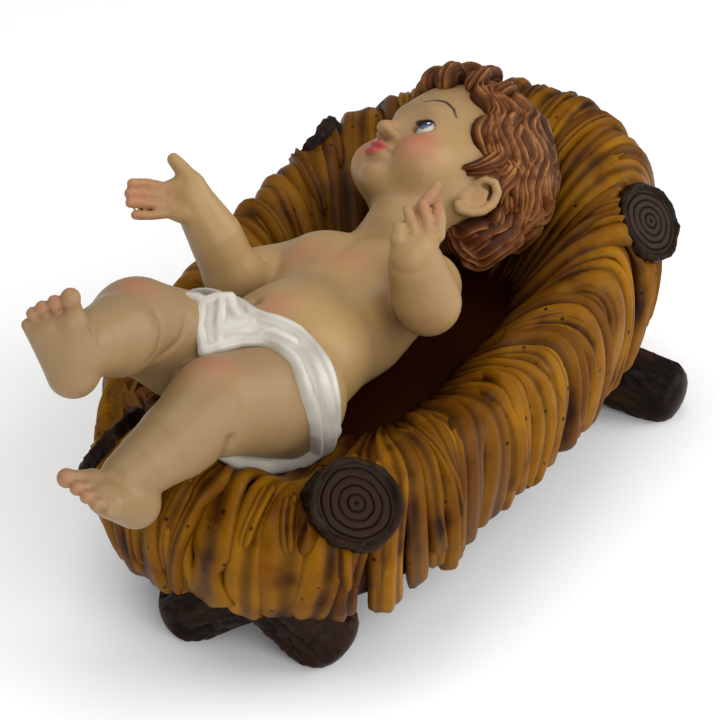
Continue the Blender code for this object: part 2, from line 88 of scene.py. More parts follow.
def gaps_from(centre, places, axes=None):
    """How far the places are from a centre, along x, y and z or along other axes."""
    gaps = [axis - c for axis, c in zip(places, centre)]
    if axes is None:
        return gaps
    return [gaps[0] * a[0] + gaps[1] * a[1] + gaps[2] * a[2] for a in axes]


def egg_depth(places, centre, radii, axes=None):
    gaps = gaps_from(centre, places, axes)
    near = np.sqrt(sum((gap / r) ** 2 for gap, r in zip(gaps, radii)))
    steep = np.sqrt(sum((gap / r ** 2) ** 2 for gap, r in zip(gaps, radii)))
    return near * (near - 1) / np.maximum(steep, 1e-6)


def egg(clay, centre, radii, blend=2.5, axes=None):
    reach = max(radii)
    centre = np.array(centre)
    cut, places = window(clay, centre - reach, centre + reach, 4 + blend)
    stick(clay, cut, egg_depth(places, centre, radii, axes), blend)


def chain_depth(places, points):
    best = None
    for (*start, r0), (*end, r1) in zip(points, points[1:]):
        way = np.array(end) - np.array(start)
        gaps = gaps_from(start, places)
        along = sum(gap * w for gap, w in zip(gaps, way)) / max(1e-9, float(way @ way))
        along = np.clip(along, 0, 1)
        off = np.sqrt(sum((gap - along * w) ** 2 for gap, w in zip(gaps, way)))
        depth = off - (r0 + (r1 - r0) * along)
        best = depth if best is None else np.minimum(best, depth)
    return best


def limb(clay, points, blend=2.5, cut_away=False):
    """Sticks a round roll of clay on, or cuts its shape away; points are (x, y, z, radius)."""
    spots = np.array([p[:3] for p in points])
    reach = max(p[3] for p in points)
    cut, places = window(clay, spots.min(0) - reach, spots.max(0) + reach, 3 + blend)
    (carve if cut_away else stick)(clay, cut, chain_depth(places, points), blend)


def dent(clay, centre, spread, depth, axes=None):
    """Presses a soft hollow in, or raises a soft swelling where the depth is negative."""
    centre = np.array(centre)
    reach = max(spread) * 2.5
    cut, places = window(clay, centre - reach, centre + reach, 0)
    squares = sum((gap / s) ** 2 for gap, s in zip(gaps_from(centre, places, axes), spread))
    clay["depth"][cut] += depth * np.exp(-squares)


def crease(clay, points, width, depth):
    """Draws a modelling tool along the points."""
    spots = np.array(points, dtype=float)
    cut, places = window(clay, spots.min(0), spots.max(0), width * 3)
    off = chain_depth(places, [(*p, 0) for p in points])
    clay["depth"][cut] += depth * np.exp(-(off / width) ** 2)


CORNERS = np.array([(a, b, c) for a in (0, 1) for b in (0, 1) for c in (0, 1)])
CUBE_EDGES = [(a, b) for a in range(8) for b in range(a + 1, 8) if abs(CORNERS[a] - CORNERS[b]).sum() == 1]


def surface(clay):
    """The clay's skin as places and four-sided faces that point outwards."""
    depth = clay["depth"]
    solid = depth < 0
    size = np.array(depth.shape) - 1
    filled = sum(solid[a:a + size[0], b:b + size[1], c:c + size[2]].astype(np.uint8) for a, b, c in CORNERS)
    mixed = (filled > 0) & (filled < 8)
    cells = np.argwhere(mixed)
    number = np.full(mixed.shape, -1, dtype=np.int32)
    number[mixed] = np.arange(len(cells))
    spots = cells[:, None, :] + CORNERS
    values = depth[spots[..., 0], spots[..., 1], spots[..., 2]]
    total = np.zeros((len(cells), 3))
    hits = np.zeros(len(cells))
    for a, b in CUBE_EDGES:
        crossed = (values[:, a] < 0) != (values[:, b] < 0)
        share = values[crossed, a] / (values[crossed, a] - values[crossed, b])
        total[crossed] += CORNERS[a] + (CORNERS[b] - CORNERS[a]) * share[:, None]
        hits[crossed] += 1
    local = cells + total / hits[:, None]
    places = np.stack([np.interp(local[:, k], np.arange(len(p)), p) for k, p in enumerate(clay["planes"])], 1)
    quads = []
    for axis in range(3):
        u, v = (axis + 1) % 3, (axis + 2) % 3
        low = [slice(1, -1)] * 3
        high = [slice(1, -1)] * 3
        low[axis], high[axis] = slice(0, -1), slice(1, None)
        start, stop = solid[tuple(low)], solid[tuple(high)]
        spot = np.argwhere(start != stop) + 1
        spot[:, axis] -= 1
        outward = solid[spot[:, 0], spot[:, 1], spot[:, 2]]
        ring = []
        for du, dv in ((1, 1), (0, 1), (0, 0), (1, 0)):
            cell = spot.copy()
            cell[:, u] -= du
            cell[:, v] -= dv
            ring.append(number[cell[:, 0], cell[:, 1], cell[:, 2]])
        face = np.stack(ring, 1)
        face[~outward] = face[~outward][:, ::-1]
        quads.append(face)
    return places, np.concatenate(quads)


def in_metres(places):
    return (places - DRAWING_MIDDLE) * 0.001


def thing_of(name, places, faces):
    """An object with smooth shading, its place in its mesh."""
    mesh = bpy.data.meshes.new(name)
    mesh.from_pydata(np.asarray(places).tolist(), [], faces if isinstance(faces, list) else faces.tolist())
    mesh.shade_smooth()
    thing = bpy.data.objects.new(name, mesh)
    bpy.context.collection.objects.link(thing)
    return thing


def give(thing, name, values):
    """Keeps one number for each corner of the mesh, for its paint to read."""
    spot = thing.data.attributes.new(name, "FLOAT", "POINT")
    spot.data.foreach_set("value", np.asarray(values, dtype=np.float32))


def unit(vector):
    vector = np.array(vector, dtype=float)
    return vector / np.linalg.norm(vector)


HEAD_CENTRE = np.array((48.4, -1.8, 66.3))
HEAD_UP = unit((0.88, -0.23, 0.41))
HEAD_LEFT = unit(np.cross(HEAD_UP, (-0.26, 0.49, 0.83)))
HEAD_FRONT = np.cross(HEAD_LEFT, HEAD_UP)
HEAD_AXES = np.array((HEAD_FRONT, HEAD_LEFT, HEAD_UP))


def on_head(front, left, up):
    """A place in the head's own axes, from its middle."""
    return HEAD_CENTRE + np.array((front, left, up)) @ HEAD_AXES


def head_egg(clay, place, radii, blend=2.0):
    egg(clay, on_head(*place), radii, blend, HEAD_AXES)


def head_limb(clay, points, blend=1.0, cut_away=False):
    limb(clay, [(*on_head(*p[:3]), p[3]) for p in points], blend, cut_away)


def head_dent(clay, place, spread, depth):
    dent(clay, on_head(*place), spread, depth, HEAD_AXES)


def head_crease(clay, points, width, depth):
    crease(clay, [on_head(*p) for p in points], width, depth)


FAR_THIGH = [(-44, 12, 54, 12.6), (-55.2, 17, 63, 11.9), (-66.2, 22, 72, 10.0)]
NEAR_THIGH = [(-47, -2.5, 50, 13.0), (-58, -3.5, 56, 12.3), (-71, 1, 60, 10.4)]


def model_hips(clay):
    """The hips, belly and thighs, which the loincloth is drawn over."""
    egg(clay, (-46, 2, 51), (15.5, 16.6, 14.5), 3)
    egg(clay, (-31, 4, 53.5), (16, 16.2, 14.2), 5)
    limb(clay, [(-33, 3, 53, 14), (-3, 3, 53.5, 12.6)], 4)
    for thigh in (FAR_THIGH, NEAR_THIGH):
        limb(clay, thigh, 3.5)


def model_torso(clay):
    egg(clay, (-3, 3, 54), (17, 18.2, 12.6), 5)
    limb(clay, [(8, -12.5, 55, 7.6), (8, 17.5, 53.5, 7.4)], 4)
    limb(clay, [(14, 2, 56, 9), (33, 1, 62, 9)], 5)
    limb(clay, [(-30, 2, 52, 14), (-20, 1.4, 51.8, 14), (-8, -0.4, 50.8, 13.8), (2, -1.2, 50.6, 12.6)], 4)
    for side in (-1, 1):
        egg(clay, (0, 3 + 8 * side, 61.5), (8, 7.5, 5), 5)
    dent(clay, (-36.2, 9.5, 67.2), (1.1, 1.3, 2.2), 2.0)
    dent(clay, (-16, 3.5, 68), (4, 8, 4), 0.8)
    dent(clay, (1, 3, 68), (9, 1.6, 4), 0.7)
    crease(clay, [(19, -8, 62), (21, -2, 66), (22, 4, 66.5), (20, 10, 63)], 0.7, 0.7)


def model_leg(clay, shin, creases):
    limb(clay, shin, 3)
    for points in creases:
        crease(clay, points, 0.6, 0.9)


# Each toe's place across the foot from the ball's middle, its reach past the ball and its radius
TOES = ((-4.9, 5.9, 2.1), (-1.5, 5.6, 1.55), (1.3, 5.0, 1.45), (3.6, 4.0, 1.4), (5.4, 1.6, 1.4))


def model_foot(clay, heel, toes, outward, sole):
    """outward points to the little toe's side, and sole out of the foot's sole."""
    heel, toes = np.array(heel, dtype=float), np.array(toes, dtype=float)
    along = unit(toes - heel)
    outward, sole = np.array(outward), np.array(sole)
    across = unit(outward - along * (outward @ along))
    sole = unit(sole - along * (sole @ along) - across * (sole @ across))
    ball = toes - along * 5
    limb(clay, [(*heel, 5.0), (*(ball + across * 1.2), 3.5)], 1.5)
    limb(clay, [(*(heel + across * 0.8), 4.8), (*(ball + across * 3.8), 2.9)], 1.5)
    limb(clay, [(*heel, 4.8), (*(ball - across * 3.0), 3.5)], 1.5)
    for offset, reach, radius in TOES:
        root = ball + across * offset * 0.85 + along * (reach - 4.4) - sole * 0.6
        tip = ball + across * offset + along * reach + sole * 0.7
        limb(clay, [(*root, radius * 0.9), (*(root * 0.4 + tip * 0.6), radius * 0.82), (*tip, radius)], 0.2)
    crease(clay, [ball + across * a + along * b + sole * 3.0
                  for a, b in ((-5.6, 3.4), (-3, 3.9), (0, 3.6), (3, 2.8), (6, 1.2))], 0.5, 0.8)


# The hands were modelled from the front, so their points are given to the right, up and forward
# as the viewer sees the figure
RIGHTWARD = np.array((0.4147, -0.91, 0.0))
UPWARD = np.array((0.4201, 0.1915, 0.887))
FORWARD = np.array((-0.8071, -0.3678, 0.4617))


def seen(start, right, up, forward):
    return np.array(start) + RIGHTWARD * right + UPWARD * up + FORWARD * forward


def seen_limb(clay, start, points, blend):
    limb(clay, [(*seen(start, *p[:3]), p[3]) for p in points], blend)


def palm_crease(clay, wrist, points):
    crease(clay, [seen(wrist, *p) for p in points], 0.45, 0.5)


def model_right_hand(clay, wrist):
    """Open, its palm turned to the viewer, fingers to the left and thumb up."""
    axes = np.array((RIGHTWARD, UPWARD, FORWARD))
    egg(clay, seen(wrist, -4.4, 0.8, 0.4), (5.2, 4.7, 2.7), 1.5, axes)
    egg(clay, seen(wrist, -1.6, 3.8, 0.6), (3.6, 3.4, 2.6), 1.5, axes)
    egg(clay, seen(wrist, -2.6, -2.2, 0.9), (3.6, 2.4, 2.3), 1.2, axes)
    seen_limb(clay, wrist, [(-1.2, 4.4, 0.6, 2.5), (-3.0, 7.2, 0.9, 1.9), (-5.1, 9.6, 1.4, 1.55)], 0.8)
    fingers = (
        ((-7.4, 3.3), (-11, 4.2), (-14.2, 4.0), 1.25), ((-7.6, 1.5), (-11.4, 2.0), (-14.8, 1.8), 1.28),
        ((-7.6, -0.5), (-11.2, -0.3), (-14.6, -0.3), 1.22),
        ((-6.8, -2.4), (-10.2, -3.0), (-13.4, -3.0), 1.15))
    for root, knuckle, tip, size in fingers:
        roll = [(*root, 1.3, size * 1.1), (*knuckle, 2.4, size * 0.95), (*tip, 4.4, size)]
        seen_limb(clay, wrist, roll, 0.22)
    dent(clay, seen(wrist, -5.0, 0.6, 3.0), (3.0, 2.6, 1.6), 0.9)
    palm_crease(clay, wrist, ((-2.8, 4.6, 3.0), (-4.4, 2.4, 3.0), (-5.2, -0.4, 3.0)))
    palm_crease(clay, wrist, ((-7.4, 4.0, 2.6), (-7.2, 1.2, 3.2), (-6.6, -2.6, 3.0)))


def model_left_hand(clay, wrist):
    """Half closed, its back to the viewer, the first finger pointing up."""
    axes = np.array((RIGHTWARD, UPWARD, FORWARD))
    egg(clay, seen(wrist, 1.0, 4.6, 0), (4.8, 4.6, 2.8), 1.5, axes)
    seen_limb(clay, wrist, [(-2.4, 1.2, 1.2, 2.5), (-3.8, 3.2, 2.0, 2.2), (-3.7, 5.4, 2.2, 1.8)], 0.5)
    seen_limb(clay, wrist, [(-0.6, 7.0, -1.6, 2.0), (1.4, 10.4, -1.8, 1.7), (3.0, 12.8, -1.8, 1.4),
                            (4.5, 15.0, -1.8, 1.2)], 0.5)
    for root, knuckle, tip in (((0.4, 2.2, 1.4), (-0.9, 6.4, 2.4), (-1.9, 9.6, 1.0)),
                               ((2.8, 3.0, 1.3), (2.2, 7.6, 2.4), (1.4, 10.8, 0.7)),
                               ((4.8, 4.0, 0.8), (5.0, 8.0, 1.5), (4.6, 10.4, -0.3))):
        seen_limb(clay, wrist, [(*root, 1.5), (*knuckle, 1.4), (*tip, 1.25)], 0.15)


# The face is a plain infant's: eyes below the middle of the head, one eye's width apart and more
EYE_PLACE = (13.4, 7.2, -4.2)
EYE_RADIUS = 3.9


def model_face(clay):
    head_egg(clay, (-2, 0, 3.5), (21.0, 18.6, 19.2), 4)
    head_egg(clay, (3.2, 0, -5.5), (15.6, 15.2, 15.8), 5)
    head_egg(clay, (8.0, 0, -14.5), (9, 10.2, 7), 4)
    head_egg(clay, (14.2, 0, -18.6), (3.9, 4.6, 3.6), 3)
    for side in (-1, 1):
        head_egg(clay, (11.2, 8.4 * side, -11.5), (7.2, 6.6, 6.8), 3)
        head_dent(clay, (18.5, 6.8 * side, -3.6), (4, 4.4, 3.2), 1.3)
        head_dent(clay, (18.6, 6.5 * side, 1.8), (3, 5, 2.2), -0.6)
    head_limb(clay, [(16.9, 0, -1.5, 2.2), (19.3, 0, -6.2, 1.8), (20.7, 0, -8.2, 1.9)], 1.8)
    head_egg(clay, (20.9, 0, -8.5), (2.1, 2.2, 1.8), 0.8)
    for side in (-1, 1):
        head_egg(clay, (19.2, 2.3 * side, -9.0), (1.7, 1.3, 1.25), 0.7)
        head_dent(clay, (20.5, 1.15 * side, -10.5), (0.9, 0.55, 0.7), 1.1)
    head_egg(clay, (17.6, 0, -14.2), (2.4, 4.6, 3.2), 2)
    head_limb(clay, [(18.0, -3.6, -13.9, 0.4), (19.8, -1.4, -12.9, 0.95), (20.0, 0, -13.3, 0.8),
                     (19.8, 1.4, -12.9, 0.95), (18.0, 3.6, -13.9, 0.4)], 0.5)
    head_limb(clay, [(18.0, -3.2, -14.4, 0.4), (19.6, -1.2, -15.3, 1.1), (19.6, 1.2, -15.3, 1.1),
                     (18.0, 3.2, -14.4, 0.4)], 0.5)
    head_crease(clay, [(18.2, -3.7, -14.0), (20.0, -1.5, -14.05), (20.4, 0, -14.25), (20.0, 1.5, -14.05),
                       (18.2, 3.7, -14.0)], 0.38, 0.9)
    head_crease(clay, [(20.0, 0, -10.6), (19.9, 0, -12.2)], 0.6, 0.35)
    head_dent(clay, (19.0, 0, -17.0), (1.6, 3.0, 0.8), 0.7)
    for side in (-1, 1):
        head_dent(clay, (17.5, 4.6 * side, -14.0), (1.5, 1.0, 1.2), 0.6)
        model_eye(clay, side)
        model_ear(clay, side)


def eye_slit(across, above):
    """How far a place is outside the opening between the lids, below 0 within it."""
    return np.maximum(np.hypot(across, above - 1.0) - 3.5, np.hypot(across, above + 1.35) - 3.7)


def model_eye(clay, side):
    front, left, up = EYE_PLACE[0], EYE_PLACE[1] * side, EYE_PLACE[2]
    centre = on_head(front, left, up)
    lids = EYE_RADIUS + 0.6
    egg(clay, centre, (lids, lids * 1.04, lids * 0.96), 1.2, HEAD_AXES)
    head_crease(clay, [(front + 3.6, left - 3.2, up + 0.9), (front + 4.4, left, up + 2.9),
                       (front + 3.4, left + 3.3, up + 1.0)], 0.35, 0.45)
    cut, places = window(clay, centre - 6, centre + 6, 0)
    ahead, across, above = gaps_from(centre, places, HEAD_AXES)
    carve(clay, cut, np.maximum(eye_slit(across, above), 0.5 - ahead), 0.35)


EAR_DROP = -4.6
EAR_SCALE = 0.87


def model_ear(clay, side):
    """A rolled rim round a bowl, and a soft lobe; the numbers are for a scale of 1 and no drop."""
    rim = [(2.0, 16.6, -3.0, 0.8), (1.6, 18.2, -0.6, 1.05), (-0.8, 19.2, 0.6, 1.15),
           (-3.4, 19.6, -0.8, 1.2), (-4.6, 19.4, -4.0, 1.2), (-4.0, 18.8, -7.6, 1.15),
           (-2.0, 17.8, -10.2, 1.2), (0.4, 16.6, -11.4, 1.4), (1.6, 16.0, -10.6, 1.2)]
    inner = [(0.6, 17.2, -3.2, 0.7), (-1.6, 18.0, -2.6, 0.8), (-2.6, 17.9, -5.2, 0.8),
             (-1.6, 17.4, -8.0, 0.8), (0.4, 16.6, -8.6, 0.7)]
    head_egg(clay, (-1.2, 15.2 * side, -5.6 + EAR_DROP), (3.8 * EAR_SCALE, 3.0, 5.6 * EAR_SCALE), 1.5)
    for roll in (rim, inner):
        scaled = [(-1.2 + (f + 1.2) * EAR_SCALE, l * side, -5.6 + (u + 5.6) * EAR_SCALE + EAR_DROP, r * 0.95)
                  for f, l, u, r in roll]
        head_limb(clay, scaled, 0.5)
    head_dent(clay, (0.2, 17.6 * side, -6.0 + EAR_DROP), (1.3, 2.0, 1.6), 1.8)


FAR_SHIN = [(-67.2, 22, 72, 9.4), (-77.5, 20.3, 75.1, 8.7), (-84.5, 20.8, 77, 7.3), (-90.3, 21.6, 77.6, 6.2)]
NEAR_SHIN = [(-72, 1, 60, 9.6), (-82, 5, 56.3, 8.4), (-88, 7.9, 54, 6.9), (-92.8, 10.4, 52, 5.8)]
FAR_LEG_CREASES = [
    [(-72.8, 14, 79.8), (-72.7, 13, 78.1), (-73.5, 12.2, 76.3), (-74.7, 11.8, 74.6), (-76.5, 11.8, 73.1),
     (-78.7, 12.3, 71.8)],
    [(-64, 11.6, 74.9), (-65.5, 11.1, 73.3), (-68.5, 11.7, 71.1), (-72, 12.7, 70.1), (-75.3, 13.1, 69.7)],
    [(-90.8, 18.5, 83), (-92.7, 16.8, 80.8), (-93.5, 16.3, 77.9)]]
NEAR_LEG_CREASES = [[(-66, -5, 50.5), (-69, -2, 50), (-72, 2, 50.3)]]
# Each piece of the arms, upper and lower, and how softly it joins what it touches
ARMS = (([(7, 17.5, 54, 7.2), (-3, 22.5, 56, 7.0), (-14, 26, 59, 6.4)], 3),
        ([(-14, 26, 59, 6.5), (-15.5, 29.8, 69.6, 6.3), (-17.5, 34, 78.4, 4.8)], 2.5),
        ([(7, -12.5, 56, 7.4), (-12.5, -21.2, 62, 7.0)], 3),
        ([(-12.7, -21.6, 62.3, 7.2), (-14, -21, 65, 7.5), (-17.1, -20.5, 73, 6.3),
          (-18.6, -20.4, 76.3, 5.3)], 2))
ARM_CREASES = [[(-23.5, 32, 76.5), (-21.7, 32.8, 78.5), (-18, 31, 80), (-14.5, 33, 79.5)],
               [(-9.5, 20, 62), (-10.5, 24, 64.5), (-9, 28, 63)]]
BODY_PLANES = (spaced(-112, 76, [(-112, -90), (-36, -6), (28, 70)], 0.54, 0.95),
               spaced(-33, 49, [(-30, 26)], 0.56, 0.7),
               spaced(33, 95, [(48, 92)], 0.54, 0.7))
body_clay = new_clay(BODY_PLANES)
model_hips(body_clay)
model_torso(body_clay)
model_leg(body_clay, FAR_SHIN, FAR_LEG_CREASES)
model_leg(body_clay, NEAR_SHIN, NEAR_LEG_CREASES)
# The fold behind the bent near knee
crease(body_clay, [(-79.2, -6, 57.9), (-79.4, -5.1, 55), (-78.4, -3.6, 52), (-76, -1.5, 49.6)], 1.0, 1.5)
model_foot(body_clay, (-92.4, 22.2, 73.4), (-96.0, 25.0, 89.7), (-0.35, 0.9, -0.25), (-0.81, -0.37, 0.46))
model_foot(body_clay, (-93.2, 9.2, 46.5), (-105.6, 13.2, 54.9), (0.25, -0.8, -0.55), (-0.7, 0.1, -0.7))
for points, blend in ARMS:
    limb(body_clay, points, blend)
for points in ARM_CREASES:
    crease(body_clay, points, 0.6, 0.6)
model_right_hand(body_clay, (-18, 33, 78.5))
model_left_hand(body_clay, (-18.4, -21.1, 76.5))
model_face(body_clay)
skin_places, skin_faces = surface(body_clay)
child_body = thing_of("child_body", in_metres(skin_places), skin_faces)


def hollow_share(thing, grain, rounds):
    """How hollow the surface is at each corner: above 0 in folds, below 0 on ridges."""
    mesh = thing.data
    count = len(mesh.vertices)
    places, ways = np.empty(count * 3), np.empty(count * 3)
    mesh.vertices.foreach_get("co", places)
    mesh.vertex_normals.foreach_get("vector", ways)
    ends = np.empty(len(mesh.edges) * 2, dtype=np.int32)
    mesh.edges.foreach_get("vertices", ends)
    first, second = ends[0::2], ends[1::2]
    neighbours = np.maximum(np.bincount(ends, minlength=count), 1)

    def average(values):
        total = np.bincount(first, values[second], count) + np.bincount(second, values[first], count)
        return total / neighbours

    places, ways = places.reshape(-1, 3), ways.reshape(-1, 3)
    middle = np.stack([average(places[:, k]) for k in range(3)], 1)
    hollow = ((middle - places) * ways).sum(1)
    for _ in range(rounds):
        hollow = (hollow + average(hollow)) / 2
    return hollow / (grain * 0.001)


def glow(places, spots):
    """Soft patches of sprayed paint: each spot is a place, its spread and its strength."""
    total = np.zeros(len(places))
    for spot, spread, strength in spots:
        total += strength * np.exp(-((places - np.array(spot)) ** 2).sum(1) / spread ** 2)
    return total


def line_gap(across, height, points):
    """How far each corner is from a line drawn on the face."""
    best = np.full(len(across), 99.0)
    for (x0, y0), (x1, y1) in zip(points, points[1:]):
        way = np.array((x1 - x0, y1 - y0))
        share = np.clip(((across - x0) * way[0] + (height - y0) * way[1]) / (way @ way), 0, 1)
        best = np.minimum(best, np.hypot(across - x0 - share * way[0], height - y0 - share * way[1]))
    return best


on_face = (skin_places - HEAD_CENTRE) @ HEAD_AXES.T
ahead, across, above = on_face.T
in_front = np.where(ahead > 8, 0, 9)
give(child_body, "blush", glow(skin_places, [
    ((-8.3, -0.5, 66.9), 5.0, 0.55), ((-8.2, 11.9, 65.6), 5.0, 0.55), ((-37.7, 4.1, 68.0), 4.5, 0.5),
    ((-72.5, 0.5, 70.5), 5.5, 0.5), ((-68.5, 21.5, 82.3), 5.5, 0.5), ((-19.9, -25.2, 60.7), 4.5, 0.2),
    (on_head(17, 10.5, -10.0), 5.2, 0.95), (on_head(17, -10.5, -10.0), 5.2, 0.95),
    (on_head(20, 0, -20), 3.5, 0.4), (on_head(21, 0, -8.5), 2.6, 0.4), ((-112, 15, 58), 7.5, 0.8),
    ((-96, 26, 94), 6.0, 0.75), ((-14, -23, 89), 6.0, 0.6), ((-27, 45, 82), 8.0, 0.6),
    (on_head(-1, 19, -10), 3.0, 0.3)]))
# Painted shade, sprayed brown in the hollows by the arms, neck, nose, ears, navel and hips
give(child_body, "shade", glow(skin_places, [
    ((-5.7, -10.5, 63.5), 4.0, 0.55), ((-13.6, -12.5, 56.2), 6.0, 0.6), ((14.4, 1, 64), 6.0, 0.45),
    (on_head(17.5, 2.6, -3.5), 2.6, 0.35), (on_head(17.5, -2.6, -3.5), 2.6, 0.35), ((-62, 6, 66), 6, 0.4),
    ((-56, -15, 52), 5.0, 0.4), ((-46, -3, 68), 5.0, 0.2), ((-36.2, 9.5, 67), 1.2, 0.7),
    (on_head(2, 17, -6), 3.5, 0.35), (on_head(2, -17, -6), 3.5, 0.35)]))
# How hollow the skin is, for the brown wash in its creases that also paints their shade
give(child_body, "hollow", hollow_share(child_body, 0.54, 3))
give(child_body, "legs", np.clip((-48 - skin_places[:, 0]) / 14, 0, 1))
upper_lip = (np.hypot(across / 3.9, (above + 13.5) / 1.35) - 1) * 1.3
upper_lip = np.maximum(upper_lip, 0.55 - np.hypot(across / 1.3, above + 11.75))
lower_lip = (np.hypot(across / 3.2, (above + 15.0) / 1.4) - 1) * 1.4
give(child_body, "lips", np.minimum(upper_lip, lower_lip) + in_front)
BROW = [(3.6, 2.6), (5.6, 4.1), (8.2, 4.6), (10.6, 3.6), (12.2, 1.8)]
brow = np.minimum(*(line_gap(side * across, above, BROW) for side in (-1, 1)))
taper = 0.42 - 0.035 * np.abs(np.abs(across) - 7)
give(child_body, "brow", brow - taper + in_front)
eye_gaps = [across - side * EYE_PLACE[1] for side in (-1, 1)]
from_lid = np.minimum(*(np.abs(eye_slit(gap, above - EYE_PLACE[2])) for gap in eye_gaps))
near_eye = np.minimum(*(np.abs(gap) for gap in eye_gaps)) < 3.4
upper_lid = near_eye & (above > EYE_PLACE[2] + 0.7) & (above < EYE_PLACE[2] + 3.4)
give(child_body, "lash", from_lid - 0.26 + np.where(upper_lid, 0, 9) + in_front)


def linear(code):
    """A colour given as an sRGB hex code, in the linear numbers that a shader reads."""
    shares = [int(code[k:k + 2], 16) / 255 for k in (1, 3, 5)]
    return (*(c / 12.92 if c <= 0.04045 else ((c + 0.055) / 1.055) ** 2.4 for c in shares), 1)


def add_node(paint, kind, settings=None, values=None, links=None, stops=None):
    """Adds a node with its settings, socket values, links from (node, output) and ramp stops."""
    node = paint.node_tree.nodes.new("ShaderNode" + kind)
    for name, value in (settings or {}).items():
        setattr(node, name, value)
    for socket, value in (values or {}).items():
        node.inputs[socket].default_value = value
    for socket, (source, output) in (links or {}).items():
        paint.node_tree.links.new(source.outputs[output], node.inputs[socket])
    for number, (place, code) in enumerate(stops or []):
        ramp = node.color_ramp.elements
        stop = ramp[number] if number < 2 else ramp.new(place)
        stop.position, stop.color = place, linear(code)
    return node


def new_paint(name, roughness, coat=0.0, shine=0.5):
    """A paint, whose shine is 0.5 when glossy and less for a matt or worn film."""
    paint = bpy.data.materials.new(name)
    paint.use_nodes = True
    sockets = paint.node_tree.nodes["Principled BSDF"].inputs
    for socket, value in (("Roughness", roughness), ("Specular IOR Level", shine), ("IOR", 1.5),
                          ("Coat Weight", coat), ("Coat Roughness", 0.25)):
        sockets[socket].default_value = value
    return paint


def texture(paint, kind, **values):
    """A texture in the object's own axes, so its scale is in repeats to the metre."""
    here = (add_node(paint, "TexCoord"), "Object")
    return add_node(paint, "Tex" + kind, values=values, links={"Vector": here})


def two_tone(paint, source, *stops):
    return add_node(paint, "ValToRGB", links={"Fac": source}, stops=stops), "Color"


def mark(paint, name):
    """The numbers that give() kept under this name."""
    return add_node(paint, "Attribute", {"attribute_name": name}), "Fac"


def step_up(paint, source, low, high):
    """A share that rises from 0 to 1 as a source goes from low to high."""
    ends = {"From Min": low, "From Max": high}
    return add_node(paint, "MapRange", values=ends, links={"Value": source}), "Result"


def lay_over(paint, under, code, share):
    """Another colour of paint laid over what is there, by a share from 0 to 1."""
    settings = {"data_type": "RGBA", "clamp_factor": True}
    return add_node(paint, "Mix", settings, {7: linear(code)}, {0: share, 6: under}), 2


def lay_marks(paint, under, layers):
    """Colours laid over one another, each where the numbers of its mark go from low to high."""
    for code, name, low, high in layers:
        under = lay_over(paint, under, code, step_up(paint, mark(paint, name), low, high))
    return under


def finish_paint(paint, colour, grain=None, strength=0.0, depth=0.0):
    """Joins the colour to the shader, and a grain in relief where one is given."""
    sockets = paint.node_tree.nodes["Principled BSDF"].inputs
    paint.node_tree.links.new(colour[0].outputs[colour[1]], sockets["Base Color"])
    if grain is not None:
        relief = {"Strength": strength, "Distance": depth}
        bump = add_node(paint, "Bump", values=relief, links={"Height": (grain, "Fac")})
        paint.node_tree.links.new(bump.outputs["Normal"], sockets["Normal"])


# Acrylic flesh paint, sprayed on polyester resin and sealed with a satin varnish: cream, with
# pink sprayed at the cheeks, chest, knees and toes, brown sprayed in the deeper hollows as
# painted shade, and a brown wash left in the creases that also paints their shade
skin_paint = new_paint("acrylic_flesh_satin", 0.45, 0.05, 0.28)
mottle = texture(skin_paint, "Noise", Scale=55.0, Detail=3.0)
flesh = two_tone(skin_paint, (mottle, "Fac"), (0.35, "#8e7048"), (0.65, "#9a7c4f"))
skin_colour = lay_marks(skin_paint, flesh, (
    ("#826947", "legs", 0.0, 1.15), ("#a65f49", "blush", 0.05, 1.15), ("#583616", "shade", 0.0, 1.2),
    ("#4e2c12", "hollow", 0.05, 0.32), ("#9c3c34", "lips", 0.15, -0.35), ("#33261a", "brow", 0.12, -0.12),
    ("#2e1e12", "lash", 0.1, -0.1)))
finish_paint(skin_paint, skin_colour, texture(skin_paint, "Noise", Scale=1400.0, Detail=2.0), 0.06, 0.0002)
child_body.data.materials.append(skin_paint)
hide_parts("child")
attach(child_body, "root")


# The eyes are part of the same casting, painted in enamel: ivory whites, a blue iris with a dark
# edge, a black pupil and a dot of white as a painted highlight.
GAZE = unit((1.0, 0.12, 0.2))
# The painted highlight's place on each eye, in the head's axes
GLINT = unit((1.0, 0.28, 0.34))
eye_paint = new_paint("enamel_eye_gloss", 0.12, 0.5)
from_pupil = step_up(eye_paint, mark(eye_paint, "from_pupil"), 0.0, 2.2)
iris = add_node(eye_paint, "ValToRGB", links={"Fac": from_pupil},
                stops=[(0.0, "#0a0a10"), (0.38, "#0a0a10"), (0.46, "#3c648e"), (0.66, "#1e3c64"),
                       (0.76, "#131c30"), (0.83, "#a8a294")])
finish_paint(eye_paint, lay_marks(eye_paint, (iris, "Color"), [("#ffffff", "from_glint", 0.42, 0.3)]))
for side, name in ((1, "left_eye"), (-1, "right_eye")):
    eye_centre = on_head(EYE_PLACE[0], EYE_PLACE[1] * side, EYE_PLACE[2])
    bpy.ops.mesh.primitive_uv_sphere_add(segments=72, ring_count=48, radius=EYE_RADIUS * 0.001)
    eye = bpy.context.object
    eye.name = name
    corners = np.empty(len(eye.data.vertices) * 3)
    eye.data.vertices.foreach_get("co", corners)
    corners = corners.reshape(-1, 3) * 1000
    ways = corners / EYE_RADIUS @ HEAD_AXES.T
    pupil_gap = EYE_RADIUS * np.arccos(np.clip(ways @ GAZE, -1, 1))
    glint_gap = EYE_RADIUS * np.arccos(np.clip(ways @ GLINT, -1, 1))
    corners *= 1 + 0.035 * np.clip(1 - (pupil_gap / 2.1) ** 2, 0, 1)[:, None]
    eye.data.vertices.foreach_set("co", in_metres(corners + eye_centre).ravel())
    eye.data.shade_smooth()
    give(eye, "from_pupil", pupil_gap)
    give(eye, "from_glint", glint_gap)
    eye.data.materials.append(eye_paint)
    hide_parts("child")
    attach(eye, "root")
    eye.select_set(False)


